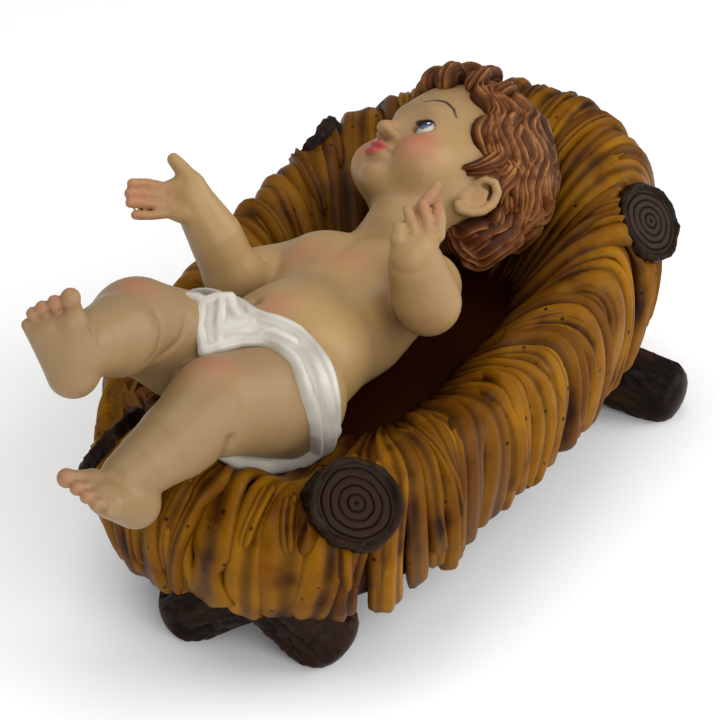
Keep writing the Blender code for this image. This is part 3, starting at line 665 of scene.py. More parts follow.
# The loincloth is carved on the same casting, as linen drawn tight round the hips: a band about
# 12 mm wide over the left hip, thicker at its rolled edges, with a knotted end over the groin.
CLOTH_TOP = ((0, 45, 65, 75, 90, 111, 132, 148, 163, 175, 189, 199, 230, 270, 315, 360),
             (-39, -39, -41, -41.8, -41.4, -41.7, -44.1, -45.8, -48.1, -48.9, -48.8, -49, -45, -42, -40, -39))
CLOTH_LOW = ((0, 22, 34, 66, 75, 83, 103, 116, 127, 138, 151, 168, 186, 213, 240, 270, 300, 330, 360),
             (-50, -47, -44.5, -45, -54, -55, -57.4, -58, -58.9, -61.2, -62.4, -61.6, -59.1, -54, -55, -57,
              -55, -52, -50))
CLOTH_THICK = 1.0
CLOTH_GRAIN = 0.45
cloth_clay = new_clay([np.arange(low, high, CLOTH_GRAIN, dtype=np.float32)
                       for low, high in ((-77, -30), (-24, 30), (31, 82))])
model_hips(cloth_clay)
x, y, z = np.ix_(*cloth_clay["planes"])
round_hips = np.degrees(np.arctan2(z - 52, y - 1)) % 360
top_edge = np.interp(round_hips, *CLOTH_TOP)
low_edge = np.interp(round_hips, *CLOTH_LOW)
share = np.clip((x - low_edge) / (top_edge - low_edge), 0, 1)
folds = np.sin(2 * np.pi * (1.7 * share + 0.12 * np.sin(np.radians(2.2 * round_hips)) + 0.05)) * 0.5
folds += np.sin(2 * np.pi * (3.1 * share + 0.2 * np.sin(np.radians(3 * round_hips)))) * 0.16
rolled = np.exp(-((x - low_edge - 1.0) / 1.3) ** 2) + np.exp(-((top_edge - x - 1.0) / 1.3) ** 2)
cloth_clay["depth"] -= (CLOTH_THICK + folds * (1 - 0.6 * rolled) + 0.95 * rolled).astype(np.float32)
everywhere = (slice(None),) * 3
carve(cloth_clay, everywhere, (top_edge - x).astype(np.float32), 1.1)
carve(cloth_clay, everywhere, (x - low_edge).astype(np.float32), 1.1)

# The knotted end is a flat pad whose top leans away from the viewer, with a band beside it and
# folds over it: each fold's points, and how softly it joins the pad
KNOT = (-57.7, 7.3, 71.6)
KNOT_FOLDS = (
    ([(-3.6, 4.2, 0, 1.15), (-4.1, -0.4, 0.5, 1.2), (-2.8, -6.2, 0.3, 1.2)], 0.5),
    ([(-1.6, 4.6, 0, 0.7), (-2.0, -0.6, 0.2, 0.75), (-1.0, -5.4, 0, 0.9)], 0.3),
    ([(0.6, 5.0, 0, 1.0), (0.3, 0, 0.5, 1.2), (0.6, -5.0, 0.2, 1.2)], 0.4),
    ([(-3.4, 4.6, 0, 1.1), (-0.6, 5.6, 0, 1.1), (2.4, 5.6, -0.3, 1.2), (3.1, 3.2, -0.2, 1.3),
      (4.2, 1.4, 0, 1.5), (6.6, 0.4, -0.7, 1.6)], 0.5),
    ([(-2.6, -6.3, 0.3, 1.2), (0.5, -5.2, 0.4, 1.2), (5.0, -3.9, 0, 1.2), (9.5, -3.8, -1.0, 1.1)], 1.2),
    ([(-3.4, 4.4, 0, 1.1), (-4.6, 5.4, 0.5, 1.25), (-6.4, 5.6, 0.6, 1.2), (-8.0, 5.2, 0.4, 1.0)], 0.5))
PAD_AXES = np.array((RIGHTWARD, unit(UPWARD - 0.5 * FORWARD), unit(FORWARD + 0.5 * UPWARD)))
egg(cloth_clay, seen(KNOT, 0.2, -0.6, 0), (4.6, 6.8, 1.7), 1.2, PAD_AXES)
seen_limb(cloth_clay, KNOT, [(1.0, -2.5, 0.6, 2.2), (6.0, -1.2, 0.2, 2.3), (11, -1.5, -1.4, 1.6),
                             (16, -3.6, -3.0, 0.8)], 2.5)
# The seat of the cloth shows as a roll under the near thigh
limb(cloth_clay, [(-43.7, -12.6, 43.4, 2.0), (-47.5, -10.8, 40.5, 2.2), (-53.5, -6.9, 39.5, 2.4),
                  (-61.9, -4.4, 42.1, 2.4), (-68.2, -2.0, 45.9, 2.1), (-71.2, 0.2, 48.9, 1.5)], 1.5)
for points, blend in KNOT_FOLDS:
    leaning = [(right, up, 0.8 - 0.5 * up + forward, radius) for right, up, forward, radius in points]
    seen_limb(cloth_clay, KNOT, leaning, blend)
cloth_places, cloth_faces = surface(cloth_clay)
loincloth = thing_of("loincloth", in_metres(cloth_places), cloth_faces)
# How hollow the cloth is, for the painted shade in its folds
give(loincloth, "hollow", hollow_share(loincloth, CLOTH_GRAIN, 4))

# White acrylic with a little pearl in it, darkened brownish grey in the folds as painted shade
cloth_paint = new_paint("pearl_white_acrylic", 0.3, 0.3, 0.4)
clouds = texture(cloth_paint, "Noise", Scale=90.0, Detail=2.0)
pearl = two_tone(cloth_paint, (clouds, "Fac"), (0.35, "#9c968a"), (0.65, "#b8b3a9"))
finish_paint(cloth_paint, lay_marks(cloth_paint, pearl, [("#685e4a", "hollow", 0.0, 0.26)]))
cloth_paint.node_tree.nodes["Principled BSDF"].inputs["Sheen Weight"].default_value = 0.15
loincloth.data.materials.append(cloth_paint)
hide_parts("child")
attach(loincloth, "root")


# The hair is modelled on the head as waved locks, each a roll of clay scored with a fine comb:
# they start from a tuft over the forehead and run down over the sides to the nape.
HAIR_MIDDLE = np.array((-2, 0, 3.5))
HAIR_RADII = np.array((21.4, 18.9, 19.4))
PARTING = math.radians(38)


def on_scalp(turn, fall, lift):
    """A place on the head by its turn about the tuft and its fall from it, in radians."""
    flat = np.stack([np.cos(turn) * math.cos(PARTING), np.sin(turn), -np.cos(turn) * math.sin(PARTING)], -1)
    way = np.array((math.sin(PARTING), 0, math.cos(PARTING))) * np.cos(fall)[..., None]
    way = way + flat * np.sin(fall)[..., None]
    return HAIR_MIDDLE + way * (HAIR_RADII + np.asarray(lift)[..., None])


def unit_rows(rows):
    return rows / np.maximum(np.linalg.norm(rows, axis=-1, keepdims=True), 1e-9)


def new_heap():
    return {"places": [], "faces": [], "groove": [], "tone": [], "count": 0}


def tube_faces(start, count, around, inward=False, fans=True):
    """Faces round a tube of numbered rings, with a fan to a middle corner at each end."""
    number = start + np.arange(count * around).reshape(count, around)
    after = np.roll(number, -1, 1)
    ring = (number[:-1], after[:-1], after[1:], number[1:])
    if inward:
        ring = (number[:-1], number[1:], after[1:], after[:-1])
    faces = np.stack(ring, -1).reshape(-1, 4).tolist()
    if not fans:
        return faces
    middle = start + count * around
    for row, middle, turned in ((0, middle, not inward), (-1, middle + 1, inward)):
        for a, b in zip(number[row].tolist(), after[row].tolist()):
            faces.append((b, a, middle) if turned else (a, b, middle))
    return faces


ROLL_SPAN = 13


def add_roll(heap, path, tops, widths, heights, ribs, rib_depth, tone, phase):
    """Adds one roll: ridged and round above, flat below, closed at both ends."""
    path, tops = np.asarray(path, dtype=float), unit_rows(np.asarray(tops, dtype=float))
    widths, heights = (np.broadcast_to(np.asarray(v, dtype=float), len(path)) for v in (widths, heights))
    ways = unit_rows(np.gradient(path, axis=0))
    sides = unit_rows(np.cross(ways, tops))
    tops = np.cross(sides, ways)
    across = np.linspace(-1, 1, ROLL_SPAN)
    ridge = np.cos(np.pi * (ribs * across + phase))
    arch = np.sqrt(np.clip(1 - across ** 2, 0, 1)) * (1 + rib_depth * (ridge - 1) / 2)
    upper = (path[:, None] + sides[:, None] * (across[None, :, None] * widths[:, None, None] / 2)
             + tops[:, None] * (arch[None, :, None] * heights[:, None, None]))
    belly = np.array((0.7, -0.7))[None, :, None]
    under = (path[:, None] + sides[:, None] * (belly * widths[:, None, None] / 2)
             - tops[:, None] * 0.5 * heights[:, None, None])
    rings = np.concatenate([upper, under], 1)
    count, around = rings.shape[:2]
    heap["faces"] += tube_faces(heap["count"], count, around)
    heap["places"] += [rings.reshape(-1, 3), rings[0].mean(0)[None], rings[-1].mean(0)[None]]
    groove = np.concatenate([np.maximum((1 - ridge) / 2, np.abs(across) ** 6), (1, 1)])
    heap["groove"] += [np.tile(groove, count), (0.5, 0.5)]
    heap["tone"] += [np.full(count * around + 2, tone)]
    heap["count"] += count * around + 2


def lock(heap, turn, start, stop, chance, width, curl=0.0):
    """A waved lock down the head; curl turns its tip towards the face."""
    count = max(10, int((stop - start) * 22))
    share = np.linspace(0, 1, count)
    fall = start + (stop - start) * share
    wave = 1.9 * np.minimum(1, share * 4) * np.sin(fall * 10.5 + turn * 2 + chance.uniform(0, 1.6))
    sweep = curl * np.clip((share - 0.72) / 0.28, 0, 1) ** 2
    turns = turn + (wave / 19.5 - sweep * 0.35 * np.sign(turn)) / np.maximum(0.3, np.sin(fall))
    lift = 0.35 + 0.7 * np.sin(fall * 7 + chance.uniform(0, 6.3)) * 0.6 + chance.uniform(-0.3, 0.6)
    lift = lift + 1.6 * np.abs(curl) * np.clip((share - 0.75) / 0.25, 0, 1)
    path = on_scalp(turns, fall, lift - 0.6)
    tops = path - on_scalp(turns, fall, lift - 2)
    sway = 0.35 * np.cos(fall * 12)
    tops = tops + np.cross(np.gradient(path, axis=0), tops) * sway[:, None]
    taper = np.minimum(1, np.minimum(share * 7 + 0.35, (1 - share) * 6 + 0.25))
    heights = 2.9 * taper * chance.uniform(0.75, 1.2)
    add_roll(heap, on_head_rows(path), tops @ HEAD_AXES, width * taper, heights, chance.choice((2, 3, 3)),
             0.36, chance.random(), chance.random())


def on_head_rows(rows):
    return HEAD_CENTRE + rows @ HEAD_AXES


def hair_end(turn):
    """How far a lock falls: short over the forehead, to the ear at the side and to the nape behind."""
    return math.radians(float(np.interp(math.degrees(abs(turn)), (0, 40, 61, 66, 78, 84, 96, 110, 180),
                                        (30, 26, 24, 102, 104, 118, 150, 152, 150))))


hair_heap = new_heap()
chance = random.Random(7)
LOCKS_ROUND = 32
# Each layer of locks: its start in degrees from the tuft, its width and its share of the way down
LOCK_LAYERS = ((9, 3.6, 0.62), (30, 5.4, 0.9), (60, 5.2, 0.97), (84, 4.8, 1.0), (108, 4.6, 1.02))
for layer, (start, width, reach) in enumerate(LOCK_LAYERS):
    for number in range(LOCKS_ROUND):
        turn = math.radians((number + 0.5 * (layer % 2)) * 360 / LOCKS_ROUND - 180)
        turn += chance.uniform(-0.03, 0.03)
        end = hair_end(turn)
        first = math.radians(start + chance.uniform(-4, 4))
        last = min(end, first + (end - first) * min(1, reach * chance.uniform(0.9, 1.08)))
        if layer == 0 and number % 2 or last - first < math.radians(12):
            continue
        round_side = math.degrees(abs(turn))
        curled = last > end - 0.05 and (abs(round_side - 72) < 9 or 90 < round_side < 135)
        lock(hair_heap, turn, first, last, chance, width * chance.uniform(0.85, 1.15),
             1.1 if curled else 0.25)

# Curls stand up over the forehead, each rolled back on itself: the place of its root to the front,
# left and up, how far left it rolls back, its width and its height
FOREHEAD_CURLS = (
    (17.6, 2.6, 11.0, 2.0, 6.4, 8.5), (16.8, -4.6, 11.6, -3.0, 6.0, 8.0), (14.6, 8.6, 13.0, 6.4, 5.6, 8.0),
    (13.8, -10.2, 12.4, -7.6, 5.6, 7.0), (11.4, 3.0, 19.5, 3.2, 6.0, 7.5), (10.2, -4.4, 20.0, -4.8, 5.6, 7.0),
    (9.6, 10.6, 15.8, 9.4, 5.0, 6.5), (13.6, -0.8, 16.4, 0.5, 6.6, 10.5))
for front, left, up, back, width, tall in FOREHEAD_CURLS:
    root = np.array((front, left, up))
    away = unit(root - HAIR_MIDDLE)
    root = root + away * 0.8
    over = unit(np.array((-0.75, (back - left) * 0.25, 0.9)))
    over = unit(over - away * (over @ away))
    aside = np.cross(away, over) * chance.uniform(-1.6, 1.6)
    turns = np.linspace(-0.4, 3.6, 18)[:, None]
    shrink = np.linspace(1, 0.5, 18)[:, None]
    taper = np.minimum(1, np.linspace(0, 1, 18) * 5 + 0.45) * np.linspace(0.95, 0.5, 18)
    for size in (0.9, 0.5):
        start = root + over * tall * 0.46 * (0.9 - size) - away * 0.7
        path = (start + over * tall * size * 0.46 * (1 - np.cos(turns) * shrink)
                + away * tall * size * 0.5 * np.sin(turns) * shrink + aside * np.sin(turns * 1.3) * size)
        tops = away * np.sin(turns) - over * np.cos(turns)
        add_roll(hair_heap, on_head_rows(path), tops @ HEAD_AXES, width * taper, 2.8 * taper, 3, 0.4,
                 chance.random(), chance.random())


def smooth_route(corners, steps):
    corners = [np.array(c, dtype=float) for c in corners]
    padded = [corners[0] * 2 - corners[1], *corners, corners[-1] * 2 - corners[-2]]
    places = []
    for a, b, c, d in zip(padded, padded[1:], padded[2:], padded[3:]):
        for step in range(steps):
            t = step / steps
            places.append(((b * 3 - a - c * 3 + d) * t ** 3 + (a * 2 - b * 5 + c * 4 - d) * t * t
                           + (c - a) * t + b * 2) / 2)
    return np.array([*places, corners[-1]])


# Below each ear the locks sweep forward over the nape; their points are to the right, up and
# forward of the ear as the viewer sees the near side, and are mirrored for the far one
BELOW_EAR = on_head(-1.2, 15.2, -9.2)
NAPE_LOCKS = ((((12, -3, -7), (8, -8.6, -7), (3, -12, -6.4), (-1, -13, -6.4)), 6.4),
              (((11.6, -7, -6), (6.6, -11.8, -5), (1.1, -14.4, -4.6), (-3.4, -13.6, -5)), 5.4),
              (((10.9, -5.4, -5), (6.2, -10.4, -4), (0.2, -12.6, -3.2), (-5.1, -10.6, -3.6)), 5.4),
              (((9.1, -3.4, -4), (4.2, -8.2, -2.6), (-1.6, -10.6, -2.2), (-6.2, -8.8, -2.8)), 5.2),
              (((6.4, -2.6, -2.8), (2.6, -6.4, -1.6), (-2.2, -8.4, -1.6), (-6.2, -6.6, -2.2)), 4.8))
for points, width in NAPE_LOCKS:
    route = smooth_route([seen(BELOW_EAR, *p) for p in points], 8)
    share = np.linspace(0, 1, len(route))
    for side in (1, -1):
        path = (route - HEAD_CENTRE) @ HEAD_AXES.T
        away = unit_rows(path - np.array((2, 0, -6)))
        wave = (1.1 * np.sin(share * 11 + width * 3))[:, None]
        path = path + np.cross(unit_rows(np.gradient(path, axis=0)), away) * wave
        path, away = path * (1, side, 1), away * (1, side, 1)
        taper = np.minimum(1, np.minimum(share * 6 + 0.35, (1 - share) * 5 + 0.25))
        add_roll(hair_heap, on_head_rows(path), away @ HEAD_AXES, width * taper, 3.0 * taper, 3, 0.4,
                 chance.random(), chance.random())

hair_places = np.concatenate(hair_heap["places"])
hair = thing_of("hair", in_metres(hair_places), hair_heap["faces"])
give(hair, "groove", np.concatenate(hair_heap["groove"]))
hair_up = (hair_places - HEAD_CENTRE) @ HEAD_AXES.T
# A greyer tone over the crown, painted as the sheen where the light falls on top
give(hair, "crown_sheen", np.clip((hair_up[:, 2] - 2) / 16, 0, 1) * np.clip((8 - hair_up[:, 0]) / 12, 0, 1))
# A darker tone towards the nape, painted as the shade under the head
give(hair, "nape", np.clip((2 - hair_up[:, 2]) / 14, 0, 1))

# Auburn acrylic, washed dark in the comb's grooves, which also paints their shade, and
# dry-brushed beige on the ridges, which also paints their highlights; the crown is greyed as
# a painted sheen and the nape darkened as painted shade
hair_paint = new_paint("auburn_acrylic_dry_brushed", 0.46, shine=0.1)
brushed = texture(hair_paint, "Noise", Scale=320.0, Detail=3.0)
auburn = two_tone(hair_paint, (brushed, "Fac"), (0.3, "#502a10"), (0.7, "#734520"))
hair_colour = lay_marks(hair_paint, auburn, (("#3c2a20", "crown_sheen", 0.1, 1.1), ("#4a1f06", "nape", 0.2, 1.2)))
# Beige dry-brushed on the ridges, which also paints their highlights
on_ridge = step_up(hair_paint, mark(hair_paint, "groove"), 0.3, 0.0)
brush_share = step_up(hair_paint, (brushed, "Fac"), 0.35, 0.62)
dry = add_node(hair_paint, "Math", {"operation": "MULTIPLY"}, links={0: on_ridge, 1: brush_share})
hair_colour = lay_over(hair_paint, hair_colour, "#9a693c", (dry, "Value"))
# Dark wash in the grooves, which also paints their shade
hair_colour = lay_marks(hair_paint, hair_colour, [("#260e04", "groove", 0.45, 1.15)])
finish_paint(hair_paint, hair_colour, brushed, 0.25, 0.0004)
hair.data.materials.append(hair_paint)
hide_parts("child")
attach(hair, "root")


# The manger's straw is cast resin too, modelled as thick straws laid over the rim of a nest: each
# climbs out of the bed, turns over the rim and hangs down to a rounded end.
NEST_LENGTH = 181.0
NEST_WIDTH = 96.0
NEST_MIDDLE = 7.0
CORNER_ROUNDNESS = {"foot": 0.72, "head": 0.4}
NEAR_FOOT_ROUNDNESS = 0.53
NEAR_HEAD_ROUNDNESS = 0.6
HEAD_END_FLARE = 5.0
SIDE_RIM_HEIGHT = 46.5
SKIRT_HEIGHT = 17.6
NEST_FLOOR_HEIGHT = 25.0
# The rim sags at the child's hip and at the head's two corners: place, spread and depth
RIM_DIPS = (((-68, -19), 17, 4.5), ((88, 38), 20, 3.0), ((92, -36), 15, 3.5))
# The child's hip presses a hollow in the bed: place, spread and depth
HIP_HOLLOW = ((-62, -8), 10, 7.0)
BULGE_STEP = 0.6
TUCK_SHARE = 0.5
CREST_SHARE = 0.87
BED_SHARE = 0.45


def outline(turn, share):
    """A place on the nest's plan, that share of the way from the middle to the outside."""
    ahead, across = np.cos(turn), np.sin(turn)
    foot, head = CORNER_ROUNDNESS["foot"], CORNER_ROUNDNESS["head"]
    power = (foot + head) / 2 + (head - foot) / 2 * ahead
    power = power + np.where((ahead < 0) & (across < 0), (NEAR_FOOT_ROUNDNESS - foot) * -ahead, 0)
    power = power + np.where((ahead > 0) & (across < 0), (NEAR_HEAD_ROUNDNESS - head) * ahead, 0)
    x = np.sign(ahead) * np.abs(ahead) ** power
    y = np.sign(across) * np.abs(across) ** power
    return NEST_MIDDLE + NEST_LENGTH / 2 * x * share, (NEST_WIDTH / 2 + HEAD_END_FLARE * x) * y * share


def along_nest(x):
    return (x - NEST_MIDDLE) / (NEST_LENGTH / 2)


def rim_height(x, y):
    along = np.maximum(0, along_nest(x)) / CREST_SHARE
    far = np.maximum(0, y) / (NEST_WIDTH / 2)
    swell = np.maximum(0, 1 - ((along_nest(x) - 0.1) / 0.75) ** 2)
    hollow = sum(depth * np.exp(-((x - u) ** 2 + (y - v) ** 2) / spread ** 2)
                 for (u, v), spread, depth in RIM_DIPS)
    return SIDE_RIM_HEIGHT + 28.5 * along * along * (1 - 0.36 * far) + 7.0 * far * swell - hollow


all_turns = np.linspace(0, 2 * math.pi, 1441)
rim_walk = np.hypot(*(np.diff(v) for v in outline(all_turns, CREST_SHARE)))
rim_laps = np.concatenate([[0], np.cumsum(rim_walk)])
RIM_LENGTH = float(rim_laps[-1])


def nest_place(lap, step):
    """The straw's way from the bed at step 0 over the rim at 0.5 and down the outside to 1."""
    turn = np.interp(np.mod(lap, 1) * RIM_LENGTH, rim_laps, all_turns)
    top = rim_height(*outline(turn, CREST_SHARE))
    rise = np.clip(step / 0.5, 0, 1)
    down = np.clip((step - 0.5) / 0.5, 0, 1)
    fall = down * math.pi / 2
    inner = BED_SHARE + (CREST_SHARE - BED_SHARE) * rise
    bulge = np.sin(np.minimum(1, down / BULGE_STEP) * math.pi / 2) ** 0.8
    bulge = bulge - TUCK_SHARE * np.clip((down - BULGE_STEP) / (1 - BULGE_STEP), 0, 1) ** 1.6
    x, y = outline(turn, np.where(step < 0.5, inner, CREST_SHARE + (1 - CREST_SHARE) * bulge))
    floor = 36 + 6 * (along_nest(x) + 1) / 2
    inside = floor + (top - floor) * np.sin(rise * math.pi / 2) ** 1.4
    (u, v), spread, depth = HIP_HOLLOW
    inside = inside - depth * np.exp(-((x - u) ** 2 + (y - v) ** 2) / spread ** 2) * (1 - rise ** 3)
    skirt = SKIRT_HEIGHT - 2 * np.maximum(0, -along_nest(x))
    outside = top - (top - skirt) * (1 - np.cos(fall)) ** 0.9
    return np.stack([x, y, np.where(step < 0.5, inside, outside)], -1)


def out_of_nest(lap, step):
    around = nest_place(lap + 0.004, step) - nest_place(lap - 0.004, step)
    across = nest_place(lap, np.minimum(1, step + 0.02)) - nest_place(lap, np.maximum(0, step - 0.02))
    return unit_rows(np.cross(across, around))


def lean_of(lap, step):
    """How far round the straws lean on their way down; neighbours lean alike."""
    turn = 2 * math.pi * lap
    lean = 0.016 * np.sin(3 * turn + 1) + 0.012 * np.sin(7 * turn) + 0.008 * np.sin(13 * turn + 2)
    return lean * (step - 0.4)


STRAW_HEIGHT = 3.0
STRAW_SINK = 1.65
TIP_STEPS = 0.03 * (1 - np.array((0.35, 0.65, 0.85, 1.0)))


def straw(heap, lap, width, first, last, chance, rise=0.0, drop=0.0, lean=0.0):
    """One straw between two steps of the nest's profile, rounded at its end."""
    stalk = np.linspace(first, last - 0.03, max(8, int((last - first) * 30)))
    step = np.concatenate([stalk, last - TIP_STEPS])
    wander = 0.004 * np.sin(step * 9 + chance.uniform(0, 6.3)) * chance.uniform(0.2, 1)
    laps = lap + lean_of(lap, step) + wander + lean * (step - 0.5)
    path = nest_place(laps, step)
    tops = out_of_nest(laps, step)
    half = 0.5 / RIM_LENGTH
    room = np.linalg.norm(nest_place(laps + half, step) - nest_place(laps - half, step), axis=-1)
    swell = 1 + 0.12 * np.sin(step * 11 + chance.uniform(0, 6.3))
    widths = width * room * swell
    end = (step - first) / (last - first)
    tip = np.sqrt(np.clip(1 - np.clip((step - last + 0.045) / 0.045, 0, 1) ** 2 * 0.9, 0, 1))
    root = np.minimum(1, 0.5 + end * 6)
    heights = STRAW_HEIGHT * chance.uniform(0.8, 1.25) * np.minimum(1, 0.55 + 1.4 * step)
    droop = -drop * np.clip((end - 0.5) / 0.5, 0, 1)
    path = path + tops * (rise - STRAW_SINK) + np.array((0, 0, 1)) * droop[:, None]
    roll_tilt = chance.uniform(-0.45, 0.45)
    tops = tops + unit_rows(np.cross(tops, np.gradient(path, axis=0))) * roll_tilt
    add_roll(heap, path, tops, widths * tip * root, heights * tip * root,
             chance.choice((1.0, 1.4, 1.9, 2.4)), 0.3, chance.random(), chance.uniform(0, 2))
    heap["inside"].append(np.repeat(np.clip(1 - step / 0.5, 0, 1), ROLL_SPAN + 2))
    heap["inside"].append(np.array((1 - first, max(0, 1 - last))))


straw_heap = new_heap()
straw_heap["inside"] = []
chance = random.Random(11)
spot = 0.0
STRAW_OVERLAP = 1.36
while spot < RIM_LENGTH:
    width = chance.choice((4.6, 5.4, 6.2, 7.0, 7.8))
    middle = (spot + width / 2) / RIM_LENGTH
    straw(straw_heap, middle, width * STRAW_OVERLAP, chance.uniform(0.0, 0.04), 1.0, chance,
          chance.uniform(-0.3, 0.9), chance.uniform(-1.2, 2.0))
    if chance.random() < 0.5:
        straw(straw_heap, middle + 0.5 * width / RIM_LENGTH, chance.uniform(3.0, 4.8),
              chance.uniform(0.2, 0.45), chance.uniform(0.84, 1.0), chance, chance.uniform(0.5, 1.5), 0,
              chance.uniform(-0.02, 0.02))
    spot += width
# Loose straws lie over the others, most of them at the foot end
LOOSE_STRAWS = 9
for number in range(LOOSE_STRAWS):
    lap = chance.uniform(0.44, 0.6) if number < 5 else chance.random()
    first = chance.uniform(0.44, 0.6)
    straw(straw_heap, lap, chance.uniform(3.4, 4.6), first, first + chance.uniform(0.16, 0.3), chance, 1.9, 0,
          chance.uniform(-0.07, 0.07))

straw_places = np.concatenate(straw_heap["places"])
inside = np.concatenate(straw_heap["inside"])
groove = np.concatenate(straw_heap["groove"])
tone = np.concatenate(straw_heap["tone"])

# Where a log's sawn end stands out of the straw, the straws pass behind it
half, side, rim = 68.0, NEST_WIDTH / 2, SIDE_RIM_HEIGHT
LOG_ENDS = (((-half - 3.1, 17.3 - side, rim - 2.4), (-0.53, -0.5, 0.68)),
            ((-half + 3.0, side - 17.0, rim - 5.0), (0, 0.82, 0.57)),
            ((half - 1.9, 1.1 - side, rim + 7.7), (-0.2, -0.8, 0.55)),
            ((half + 2, side - 1.5, rim + 9.5), (0, 0.85, 0.53)))


# How steeply the straws come forward again round a near and a far log, and how far out that goes
LOG_FUNNELS = ((3, 11.6), (2.2, 15))


def pass_behind_logs(places):
    for number, (centre, way) in enumerate(LOG_ENDS):
        away = places - np.array(centre)
        ahead = away @ unit(way)
        aside = np.linalg.norm(away - ahead[:, None] * unit(way), axis=1)
        steep, reach = LOG_FUNNELS[number % 2]
        behind = np.where(aside < 10.5, -2.5, -2.5 + (aside - 10.5) * steep)
        deep = (ahead > behind) & (aside < reach) & (ahead < 12)
        places[deep] -= ((ahead - behind)[:, None] * unit(way))[deep]


pass_behind_logs(straw_places)

# Under the straws one closed body fills the nest, so that no light comes through
CORE_ROUND = 160
CORE_SINK = 1.3
core_laps = np.arange(CORE_ROUND) / CORE_ROUND
core_rings = []
for step in np.linspace(0, 0.94, 18):
    steps = np.full(CORE_ROUND, step)
    core_rings.append(nest_place(core_laps, steps) - out_of_nest(core_laps, steps) * CORE_SINK)
core_turns = np.interp(core_laps * RIM_LENGTH, rim_laps, all_turns)
for share in (0.9, 0.6, 0.3):
    core_rings.append(np.stack([*outline(core_turns, share), np.full(CORE_ROUND, NEST_FLOOR_HEIGHT)], -1))
core_places = np.concatenate([*core_rings, core_rings[0].mean(0)[None], core_rings[-1].mean(0)[None]])
pass_behind_logs(core_places)
core_faces = tube_faces(len(straw_places), len(core_rings), CORE_ROUND, inward=True)
straw_faces = straw_heap["faces"] + core_faces
straw_places = np.concatenate([straw_places, core_places])
# The core is painted as deepest in the bed and in the grooves: stain with painted shadow
inside = np.concatenate([inside, np.ones(len(core_places))])
groove = np.concatenate([groove, np.ones(len(core_places))])
tone = np.concatenate([tone, np.full(len(core_places), 0.5)])

# The straw gives way under the child, who lies in the hollow
CHILD_GAP = 0.5
child_tree = BVHTree.FromPolygons(
    np.concatenate([skin_places, cloth_places, hair_places]).tolist(),
    skin_faces.tolist() + (cloth_faces + len(skin_places)).tolist()
    + [tuple(c + len(skin_places) + len(cloth_places) for c in face) for face in hair_heap["faces"]])
for number, (x, y, z) in enumerate(straw_places):
    if -70 < x < 75 and abs(y) < 40:
        hit = child_tree.ray_cast(Vector((x, y, -10)), Vector((0, 0, 1)))
        if hit[0] and z > hit[0].z - CHILD_GAP:
            straw_places[number, 2] = hit[0].z - CHILD_GAP

straw_nest = thing_of("straw", in_metres(straw_places), straw_faces)
give(straw_nest, "groove", groove)
give(straw_nest, "tone", tone)
# How deep in the bed each corner lies, for the stain and painted shadow there
give(straw_nest, "inside", inside)

# Ochre acrylic, stained dark brown in patches and where the wash ran into the grooves, which
# also paints their shade, and darker down into the bed, partly stain and partly painted shadow
straw_paint = new_paint("ochre_acrylic_washed", 0.38, shine=0.06)
patches = texture(straw_paint, "Noise", Scale=75.0, Detail=4.0)
ochre = two_tone(straw_paint, (patches, "Fac"), (0.3, "#5a3202"), (0.7, "#8a5c08"))
straw_colour = lay_marks(straw_paint, ochre, [("#442002", "tone", 0.4, 1.2)])
# The wash in the grooves, which also paints their shade, and dark patches of stain
in_groove = step_up(straw_paint, mark(straw_paint, "groove"), 0.35, 1.1)
in_patch = step_up(straw_paint, (patches, "Fac"), 0.5, 0.15)
wash_and_shade = add_node(straw_paint, "Math", {"operation": "ADD"}, links={0: in_groove, 1: in_patch})
wash_and_shade_share = step_up(straw_paint, (wash_and_shade, "Value"), 0.3, 1.3)
straw_colour = lay_over(straw_paint, straw_colour, "#1e0b02", wash_and_shade_share)
# Darker down into the bed: partly stain, partly painted shadow
straw_colour = lay_marks(straw_paint, straw_colour, [("#240a01", "inside", 0.25, 1.0)])
specks = texture(straw_paint, "Voronoi", Scale=210.0)
speck_share = step_up(straw_paint, (specks, "Distance"), 0.14, 0.06)
straw_colour = lay_over(straw_paint, straw_colour, "#1c0c03", speck_share)
stalk_grain = texture(straw_paint, "Noise", Scale=420.0, Detail=3.0)
finish_paint(straw_paint, straw_colour, stalk_grain, 0.2, 0.0004)
straw_nest.data.materials.append(straw_paint)
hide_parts("manger")
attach(straw_nest, "root")


# Two trestles carry the nest, each of two crooked logs that cross under it: rough bark, with the
# upper ends sawn to show their rings. They are part of the manger's casting.
LOG_DIAMETER = 20.5
FOOT_DIAMETER = 16.5
FOOT_WEAR = 3.2
LOG_SIDES = 84


def noise_round(place, around, spread, along):
    """Smooth noise at an angle round a log and a length along it."""
    return noise.noise(Vector((math.cos(around) * spread, math.sin(around) * spread, along)) + place)


def bark_height(place, around, along):
    """Bark in long flakes: ridges run with the log and break off every few millimetres."""
    flake = noise_round(place, around, 3.2, along * 0.1)
    crack = abs(noise_round(place * 3, around, 6, along * 0.2))
    knot = noise_round(-place, around, 1.2, along * 0.07)
    return 0.9 * flake - 0.9 * max(0, 0.22 - crack) / 0.22 + 1.1 * knot


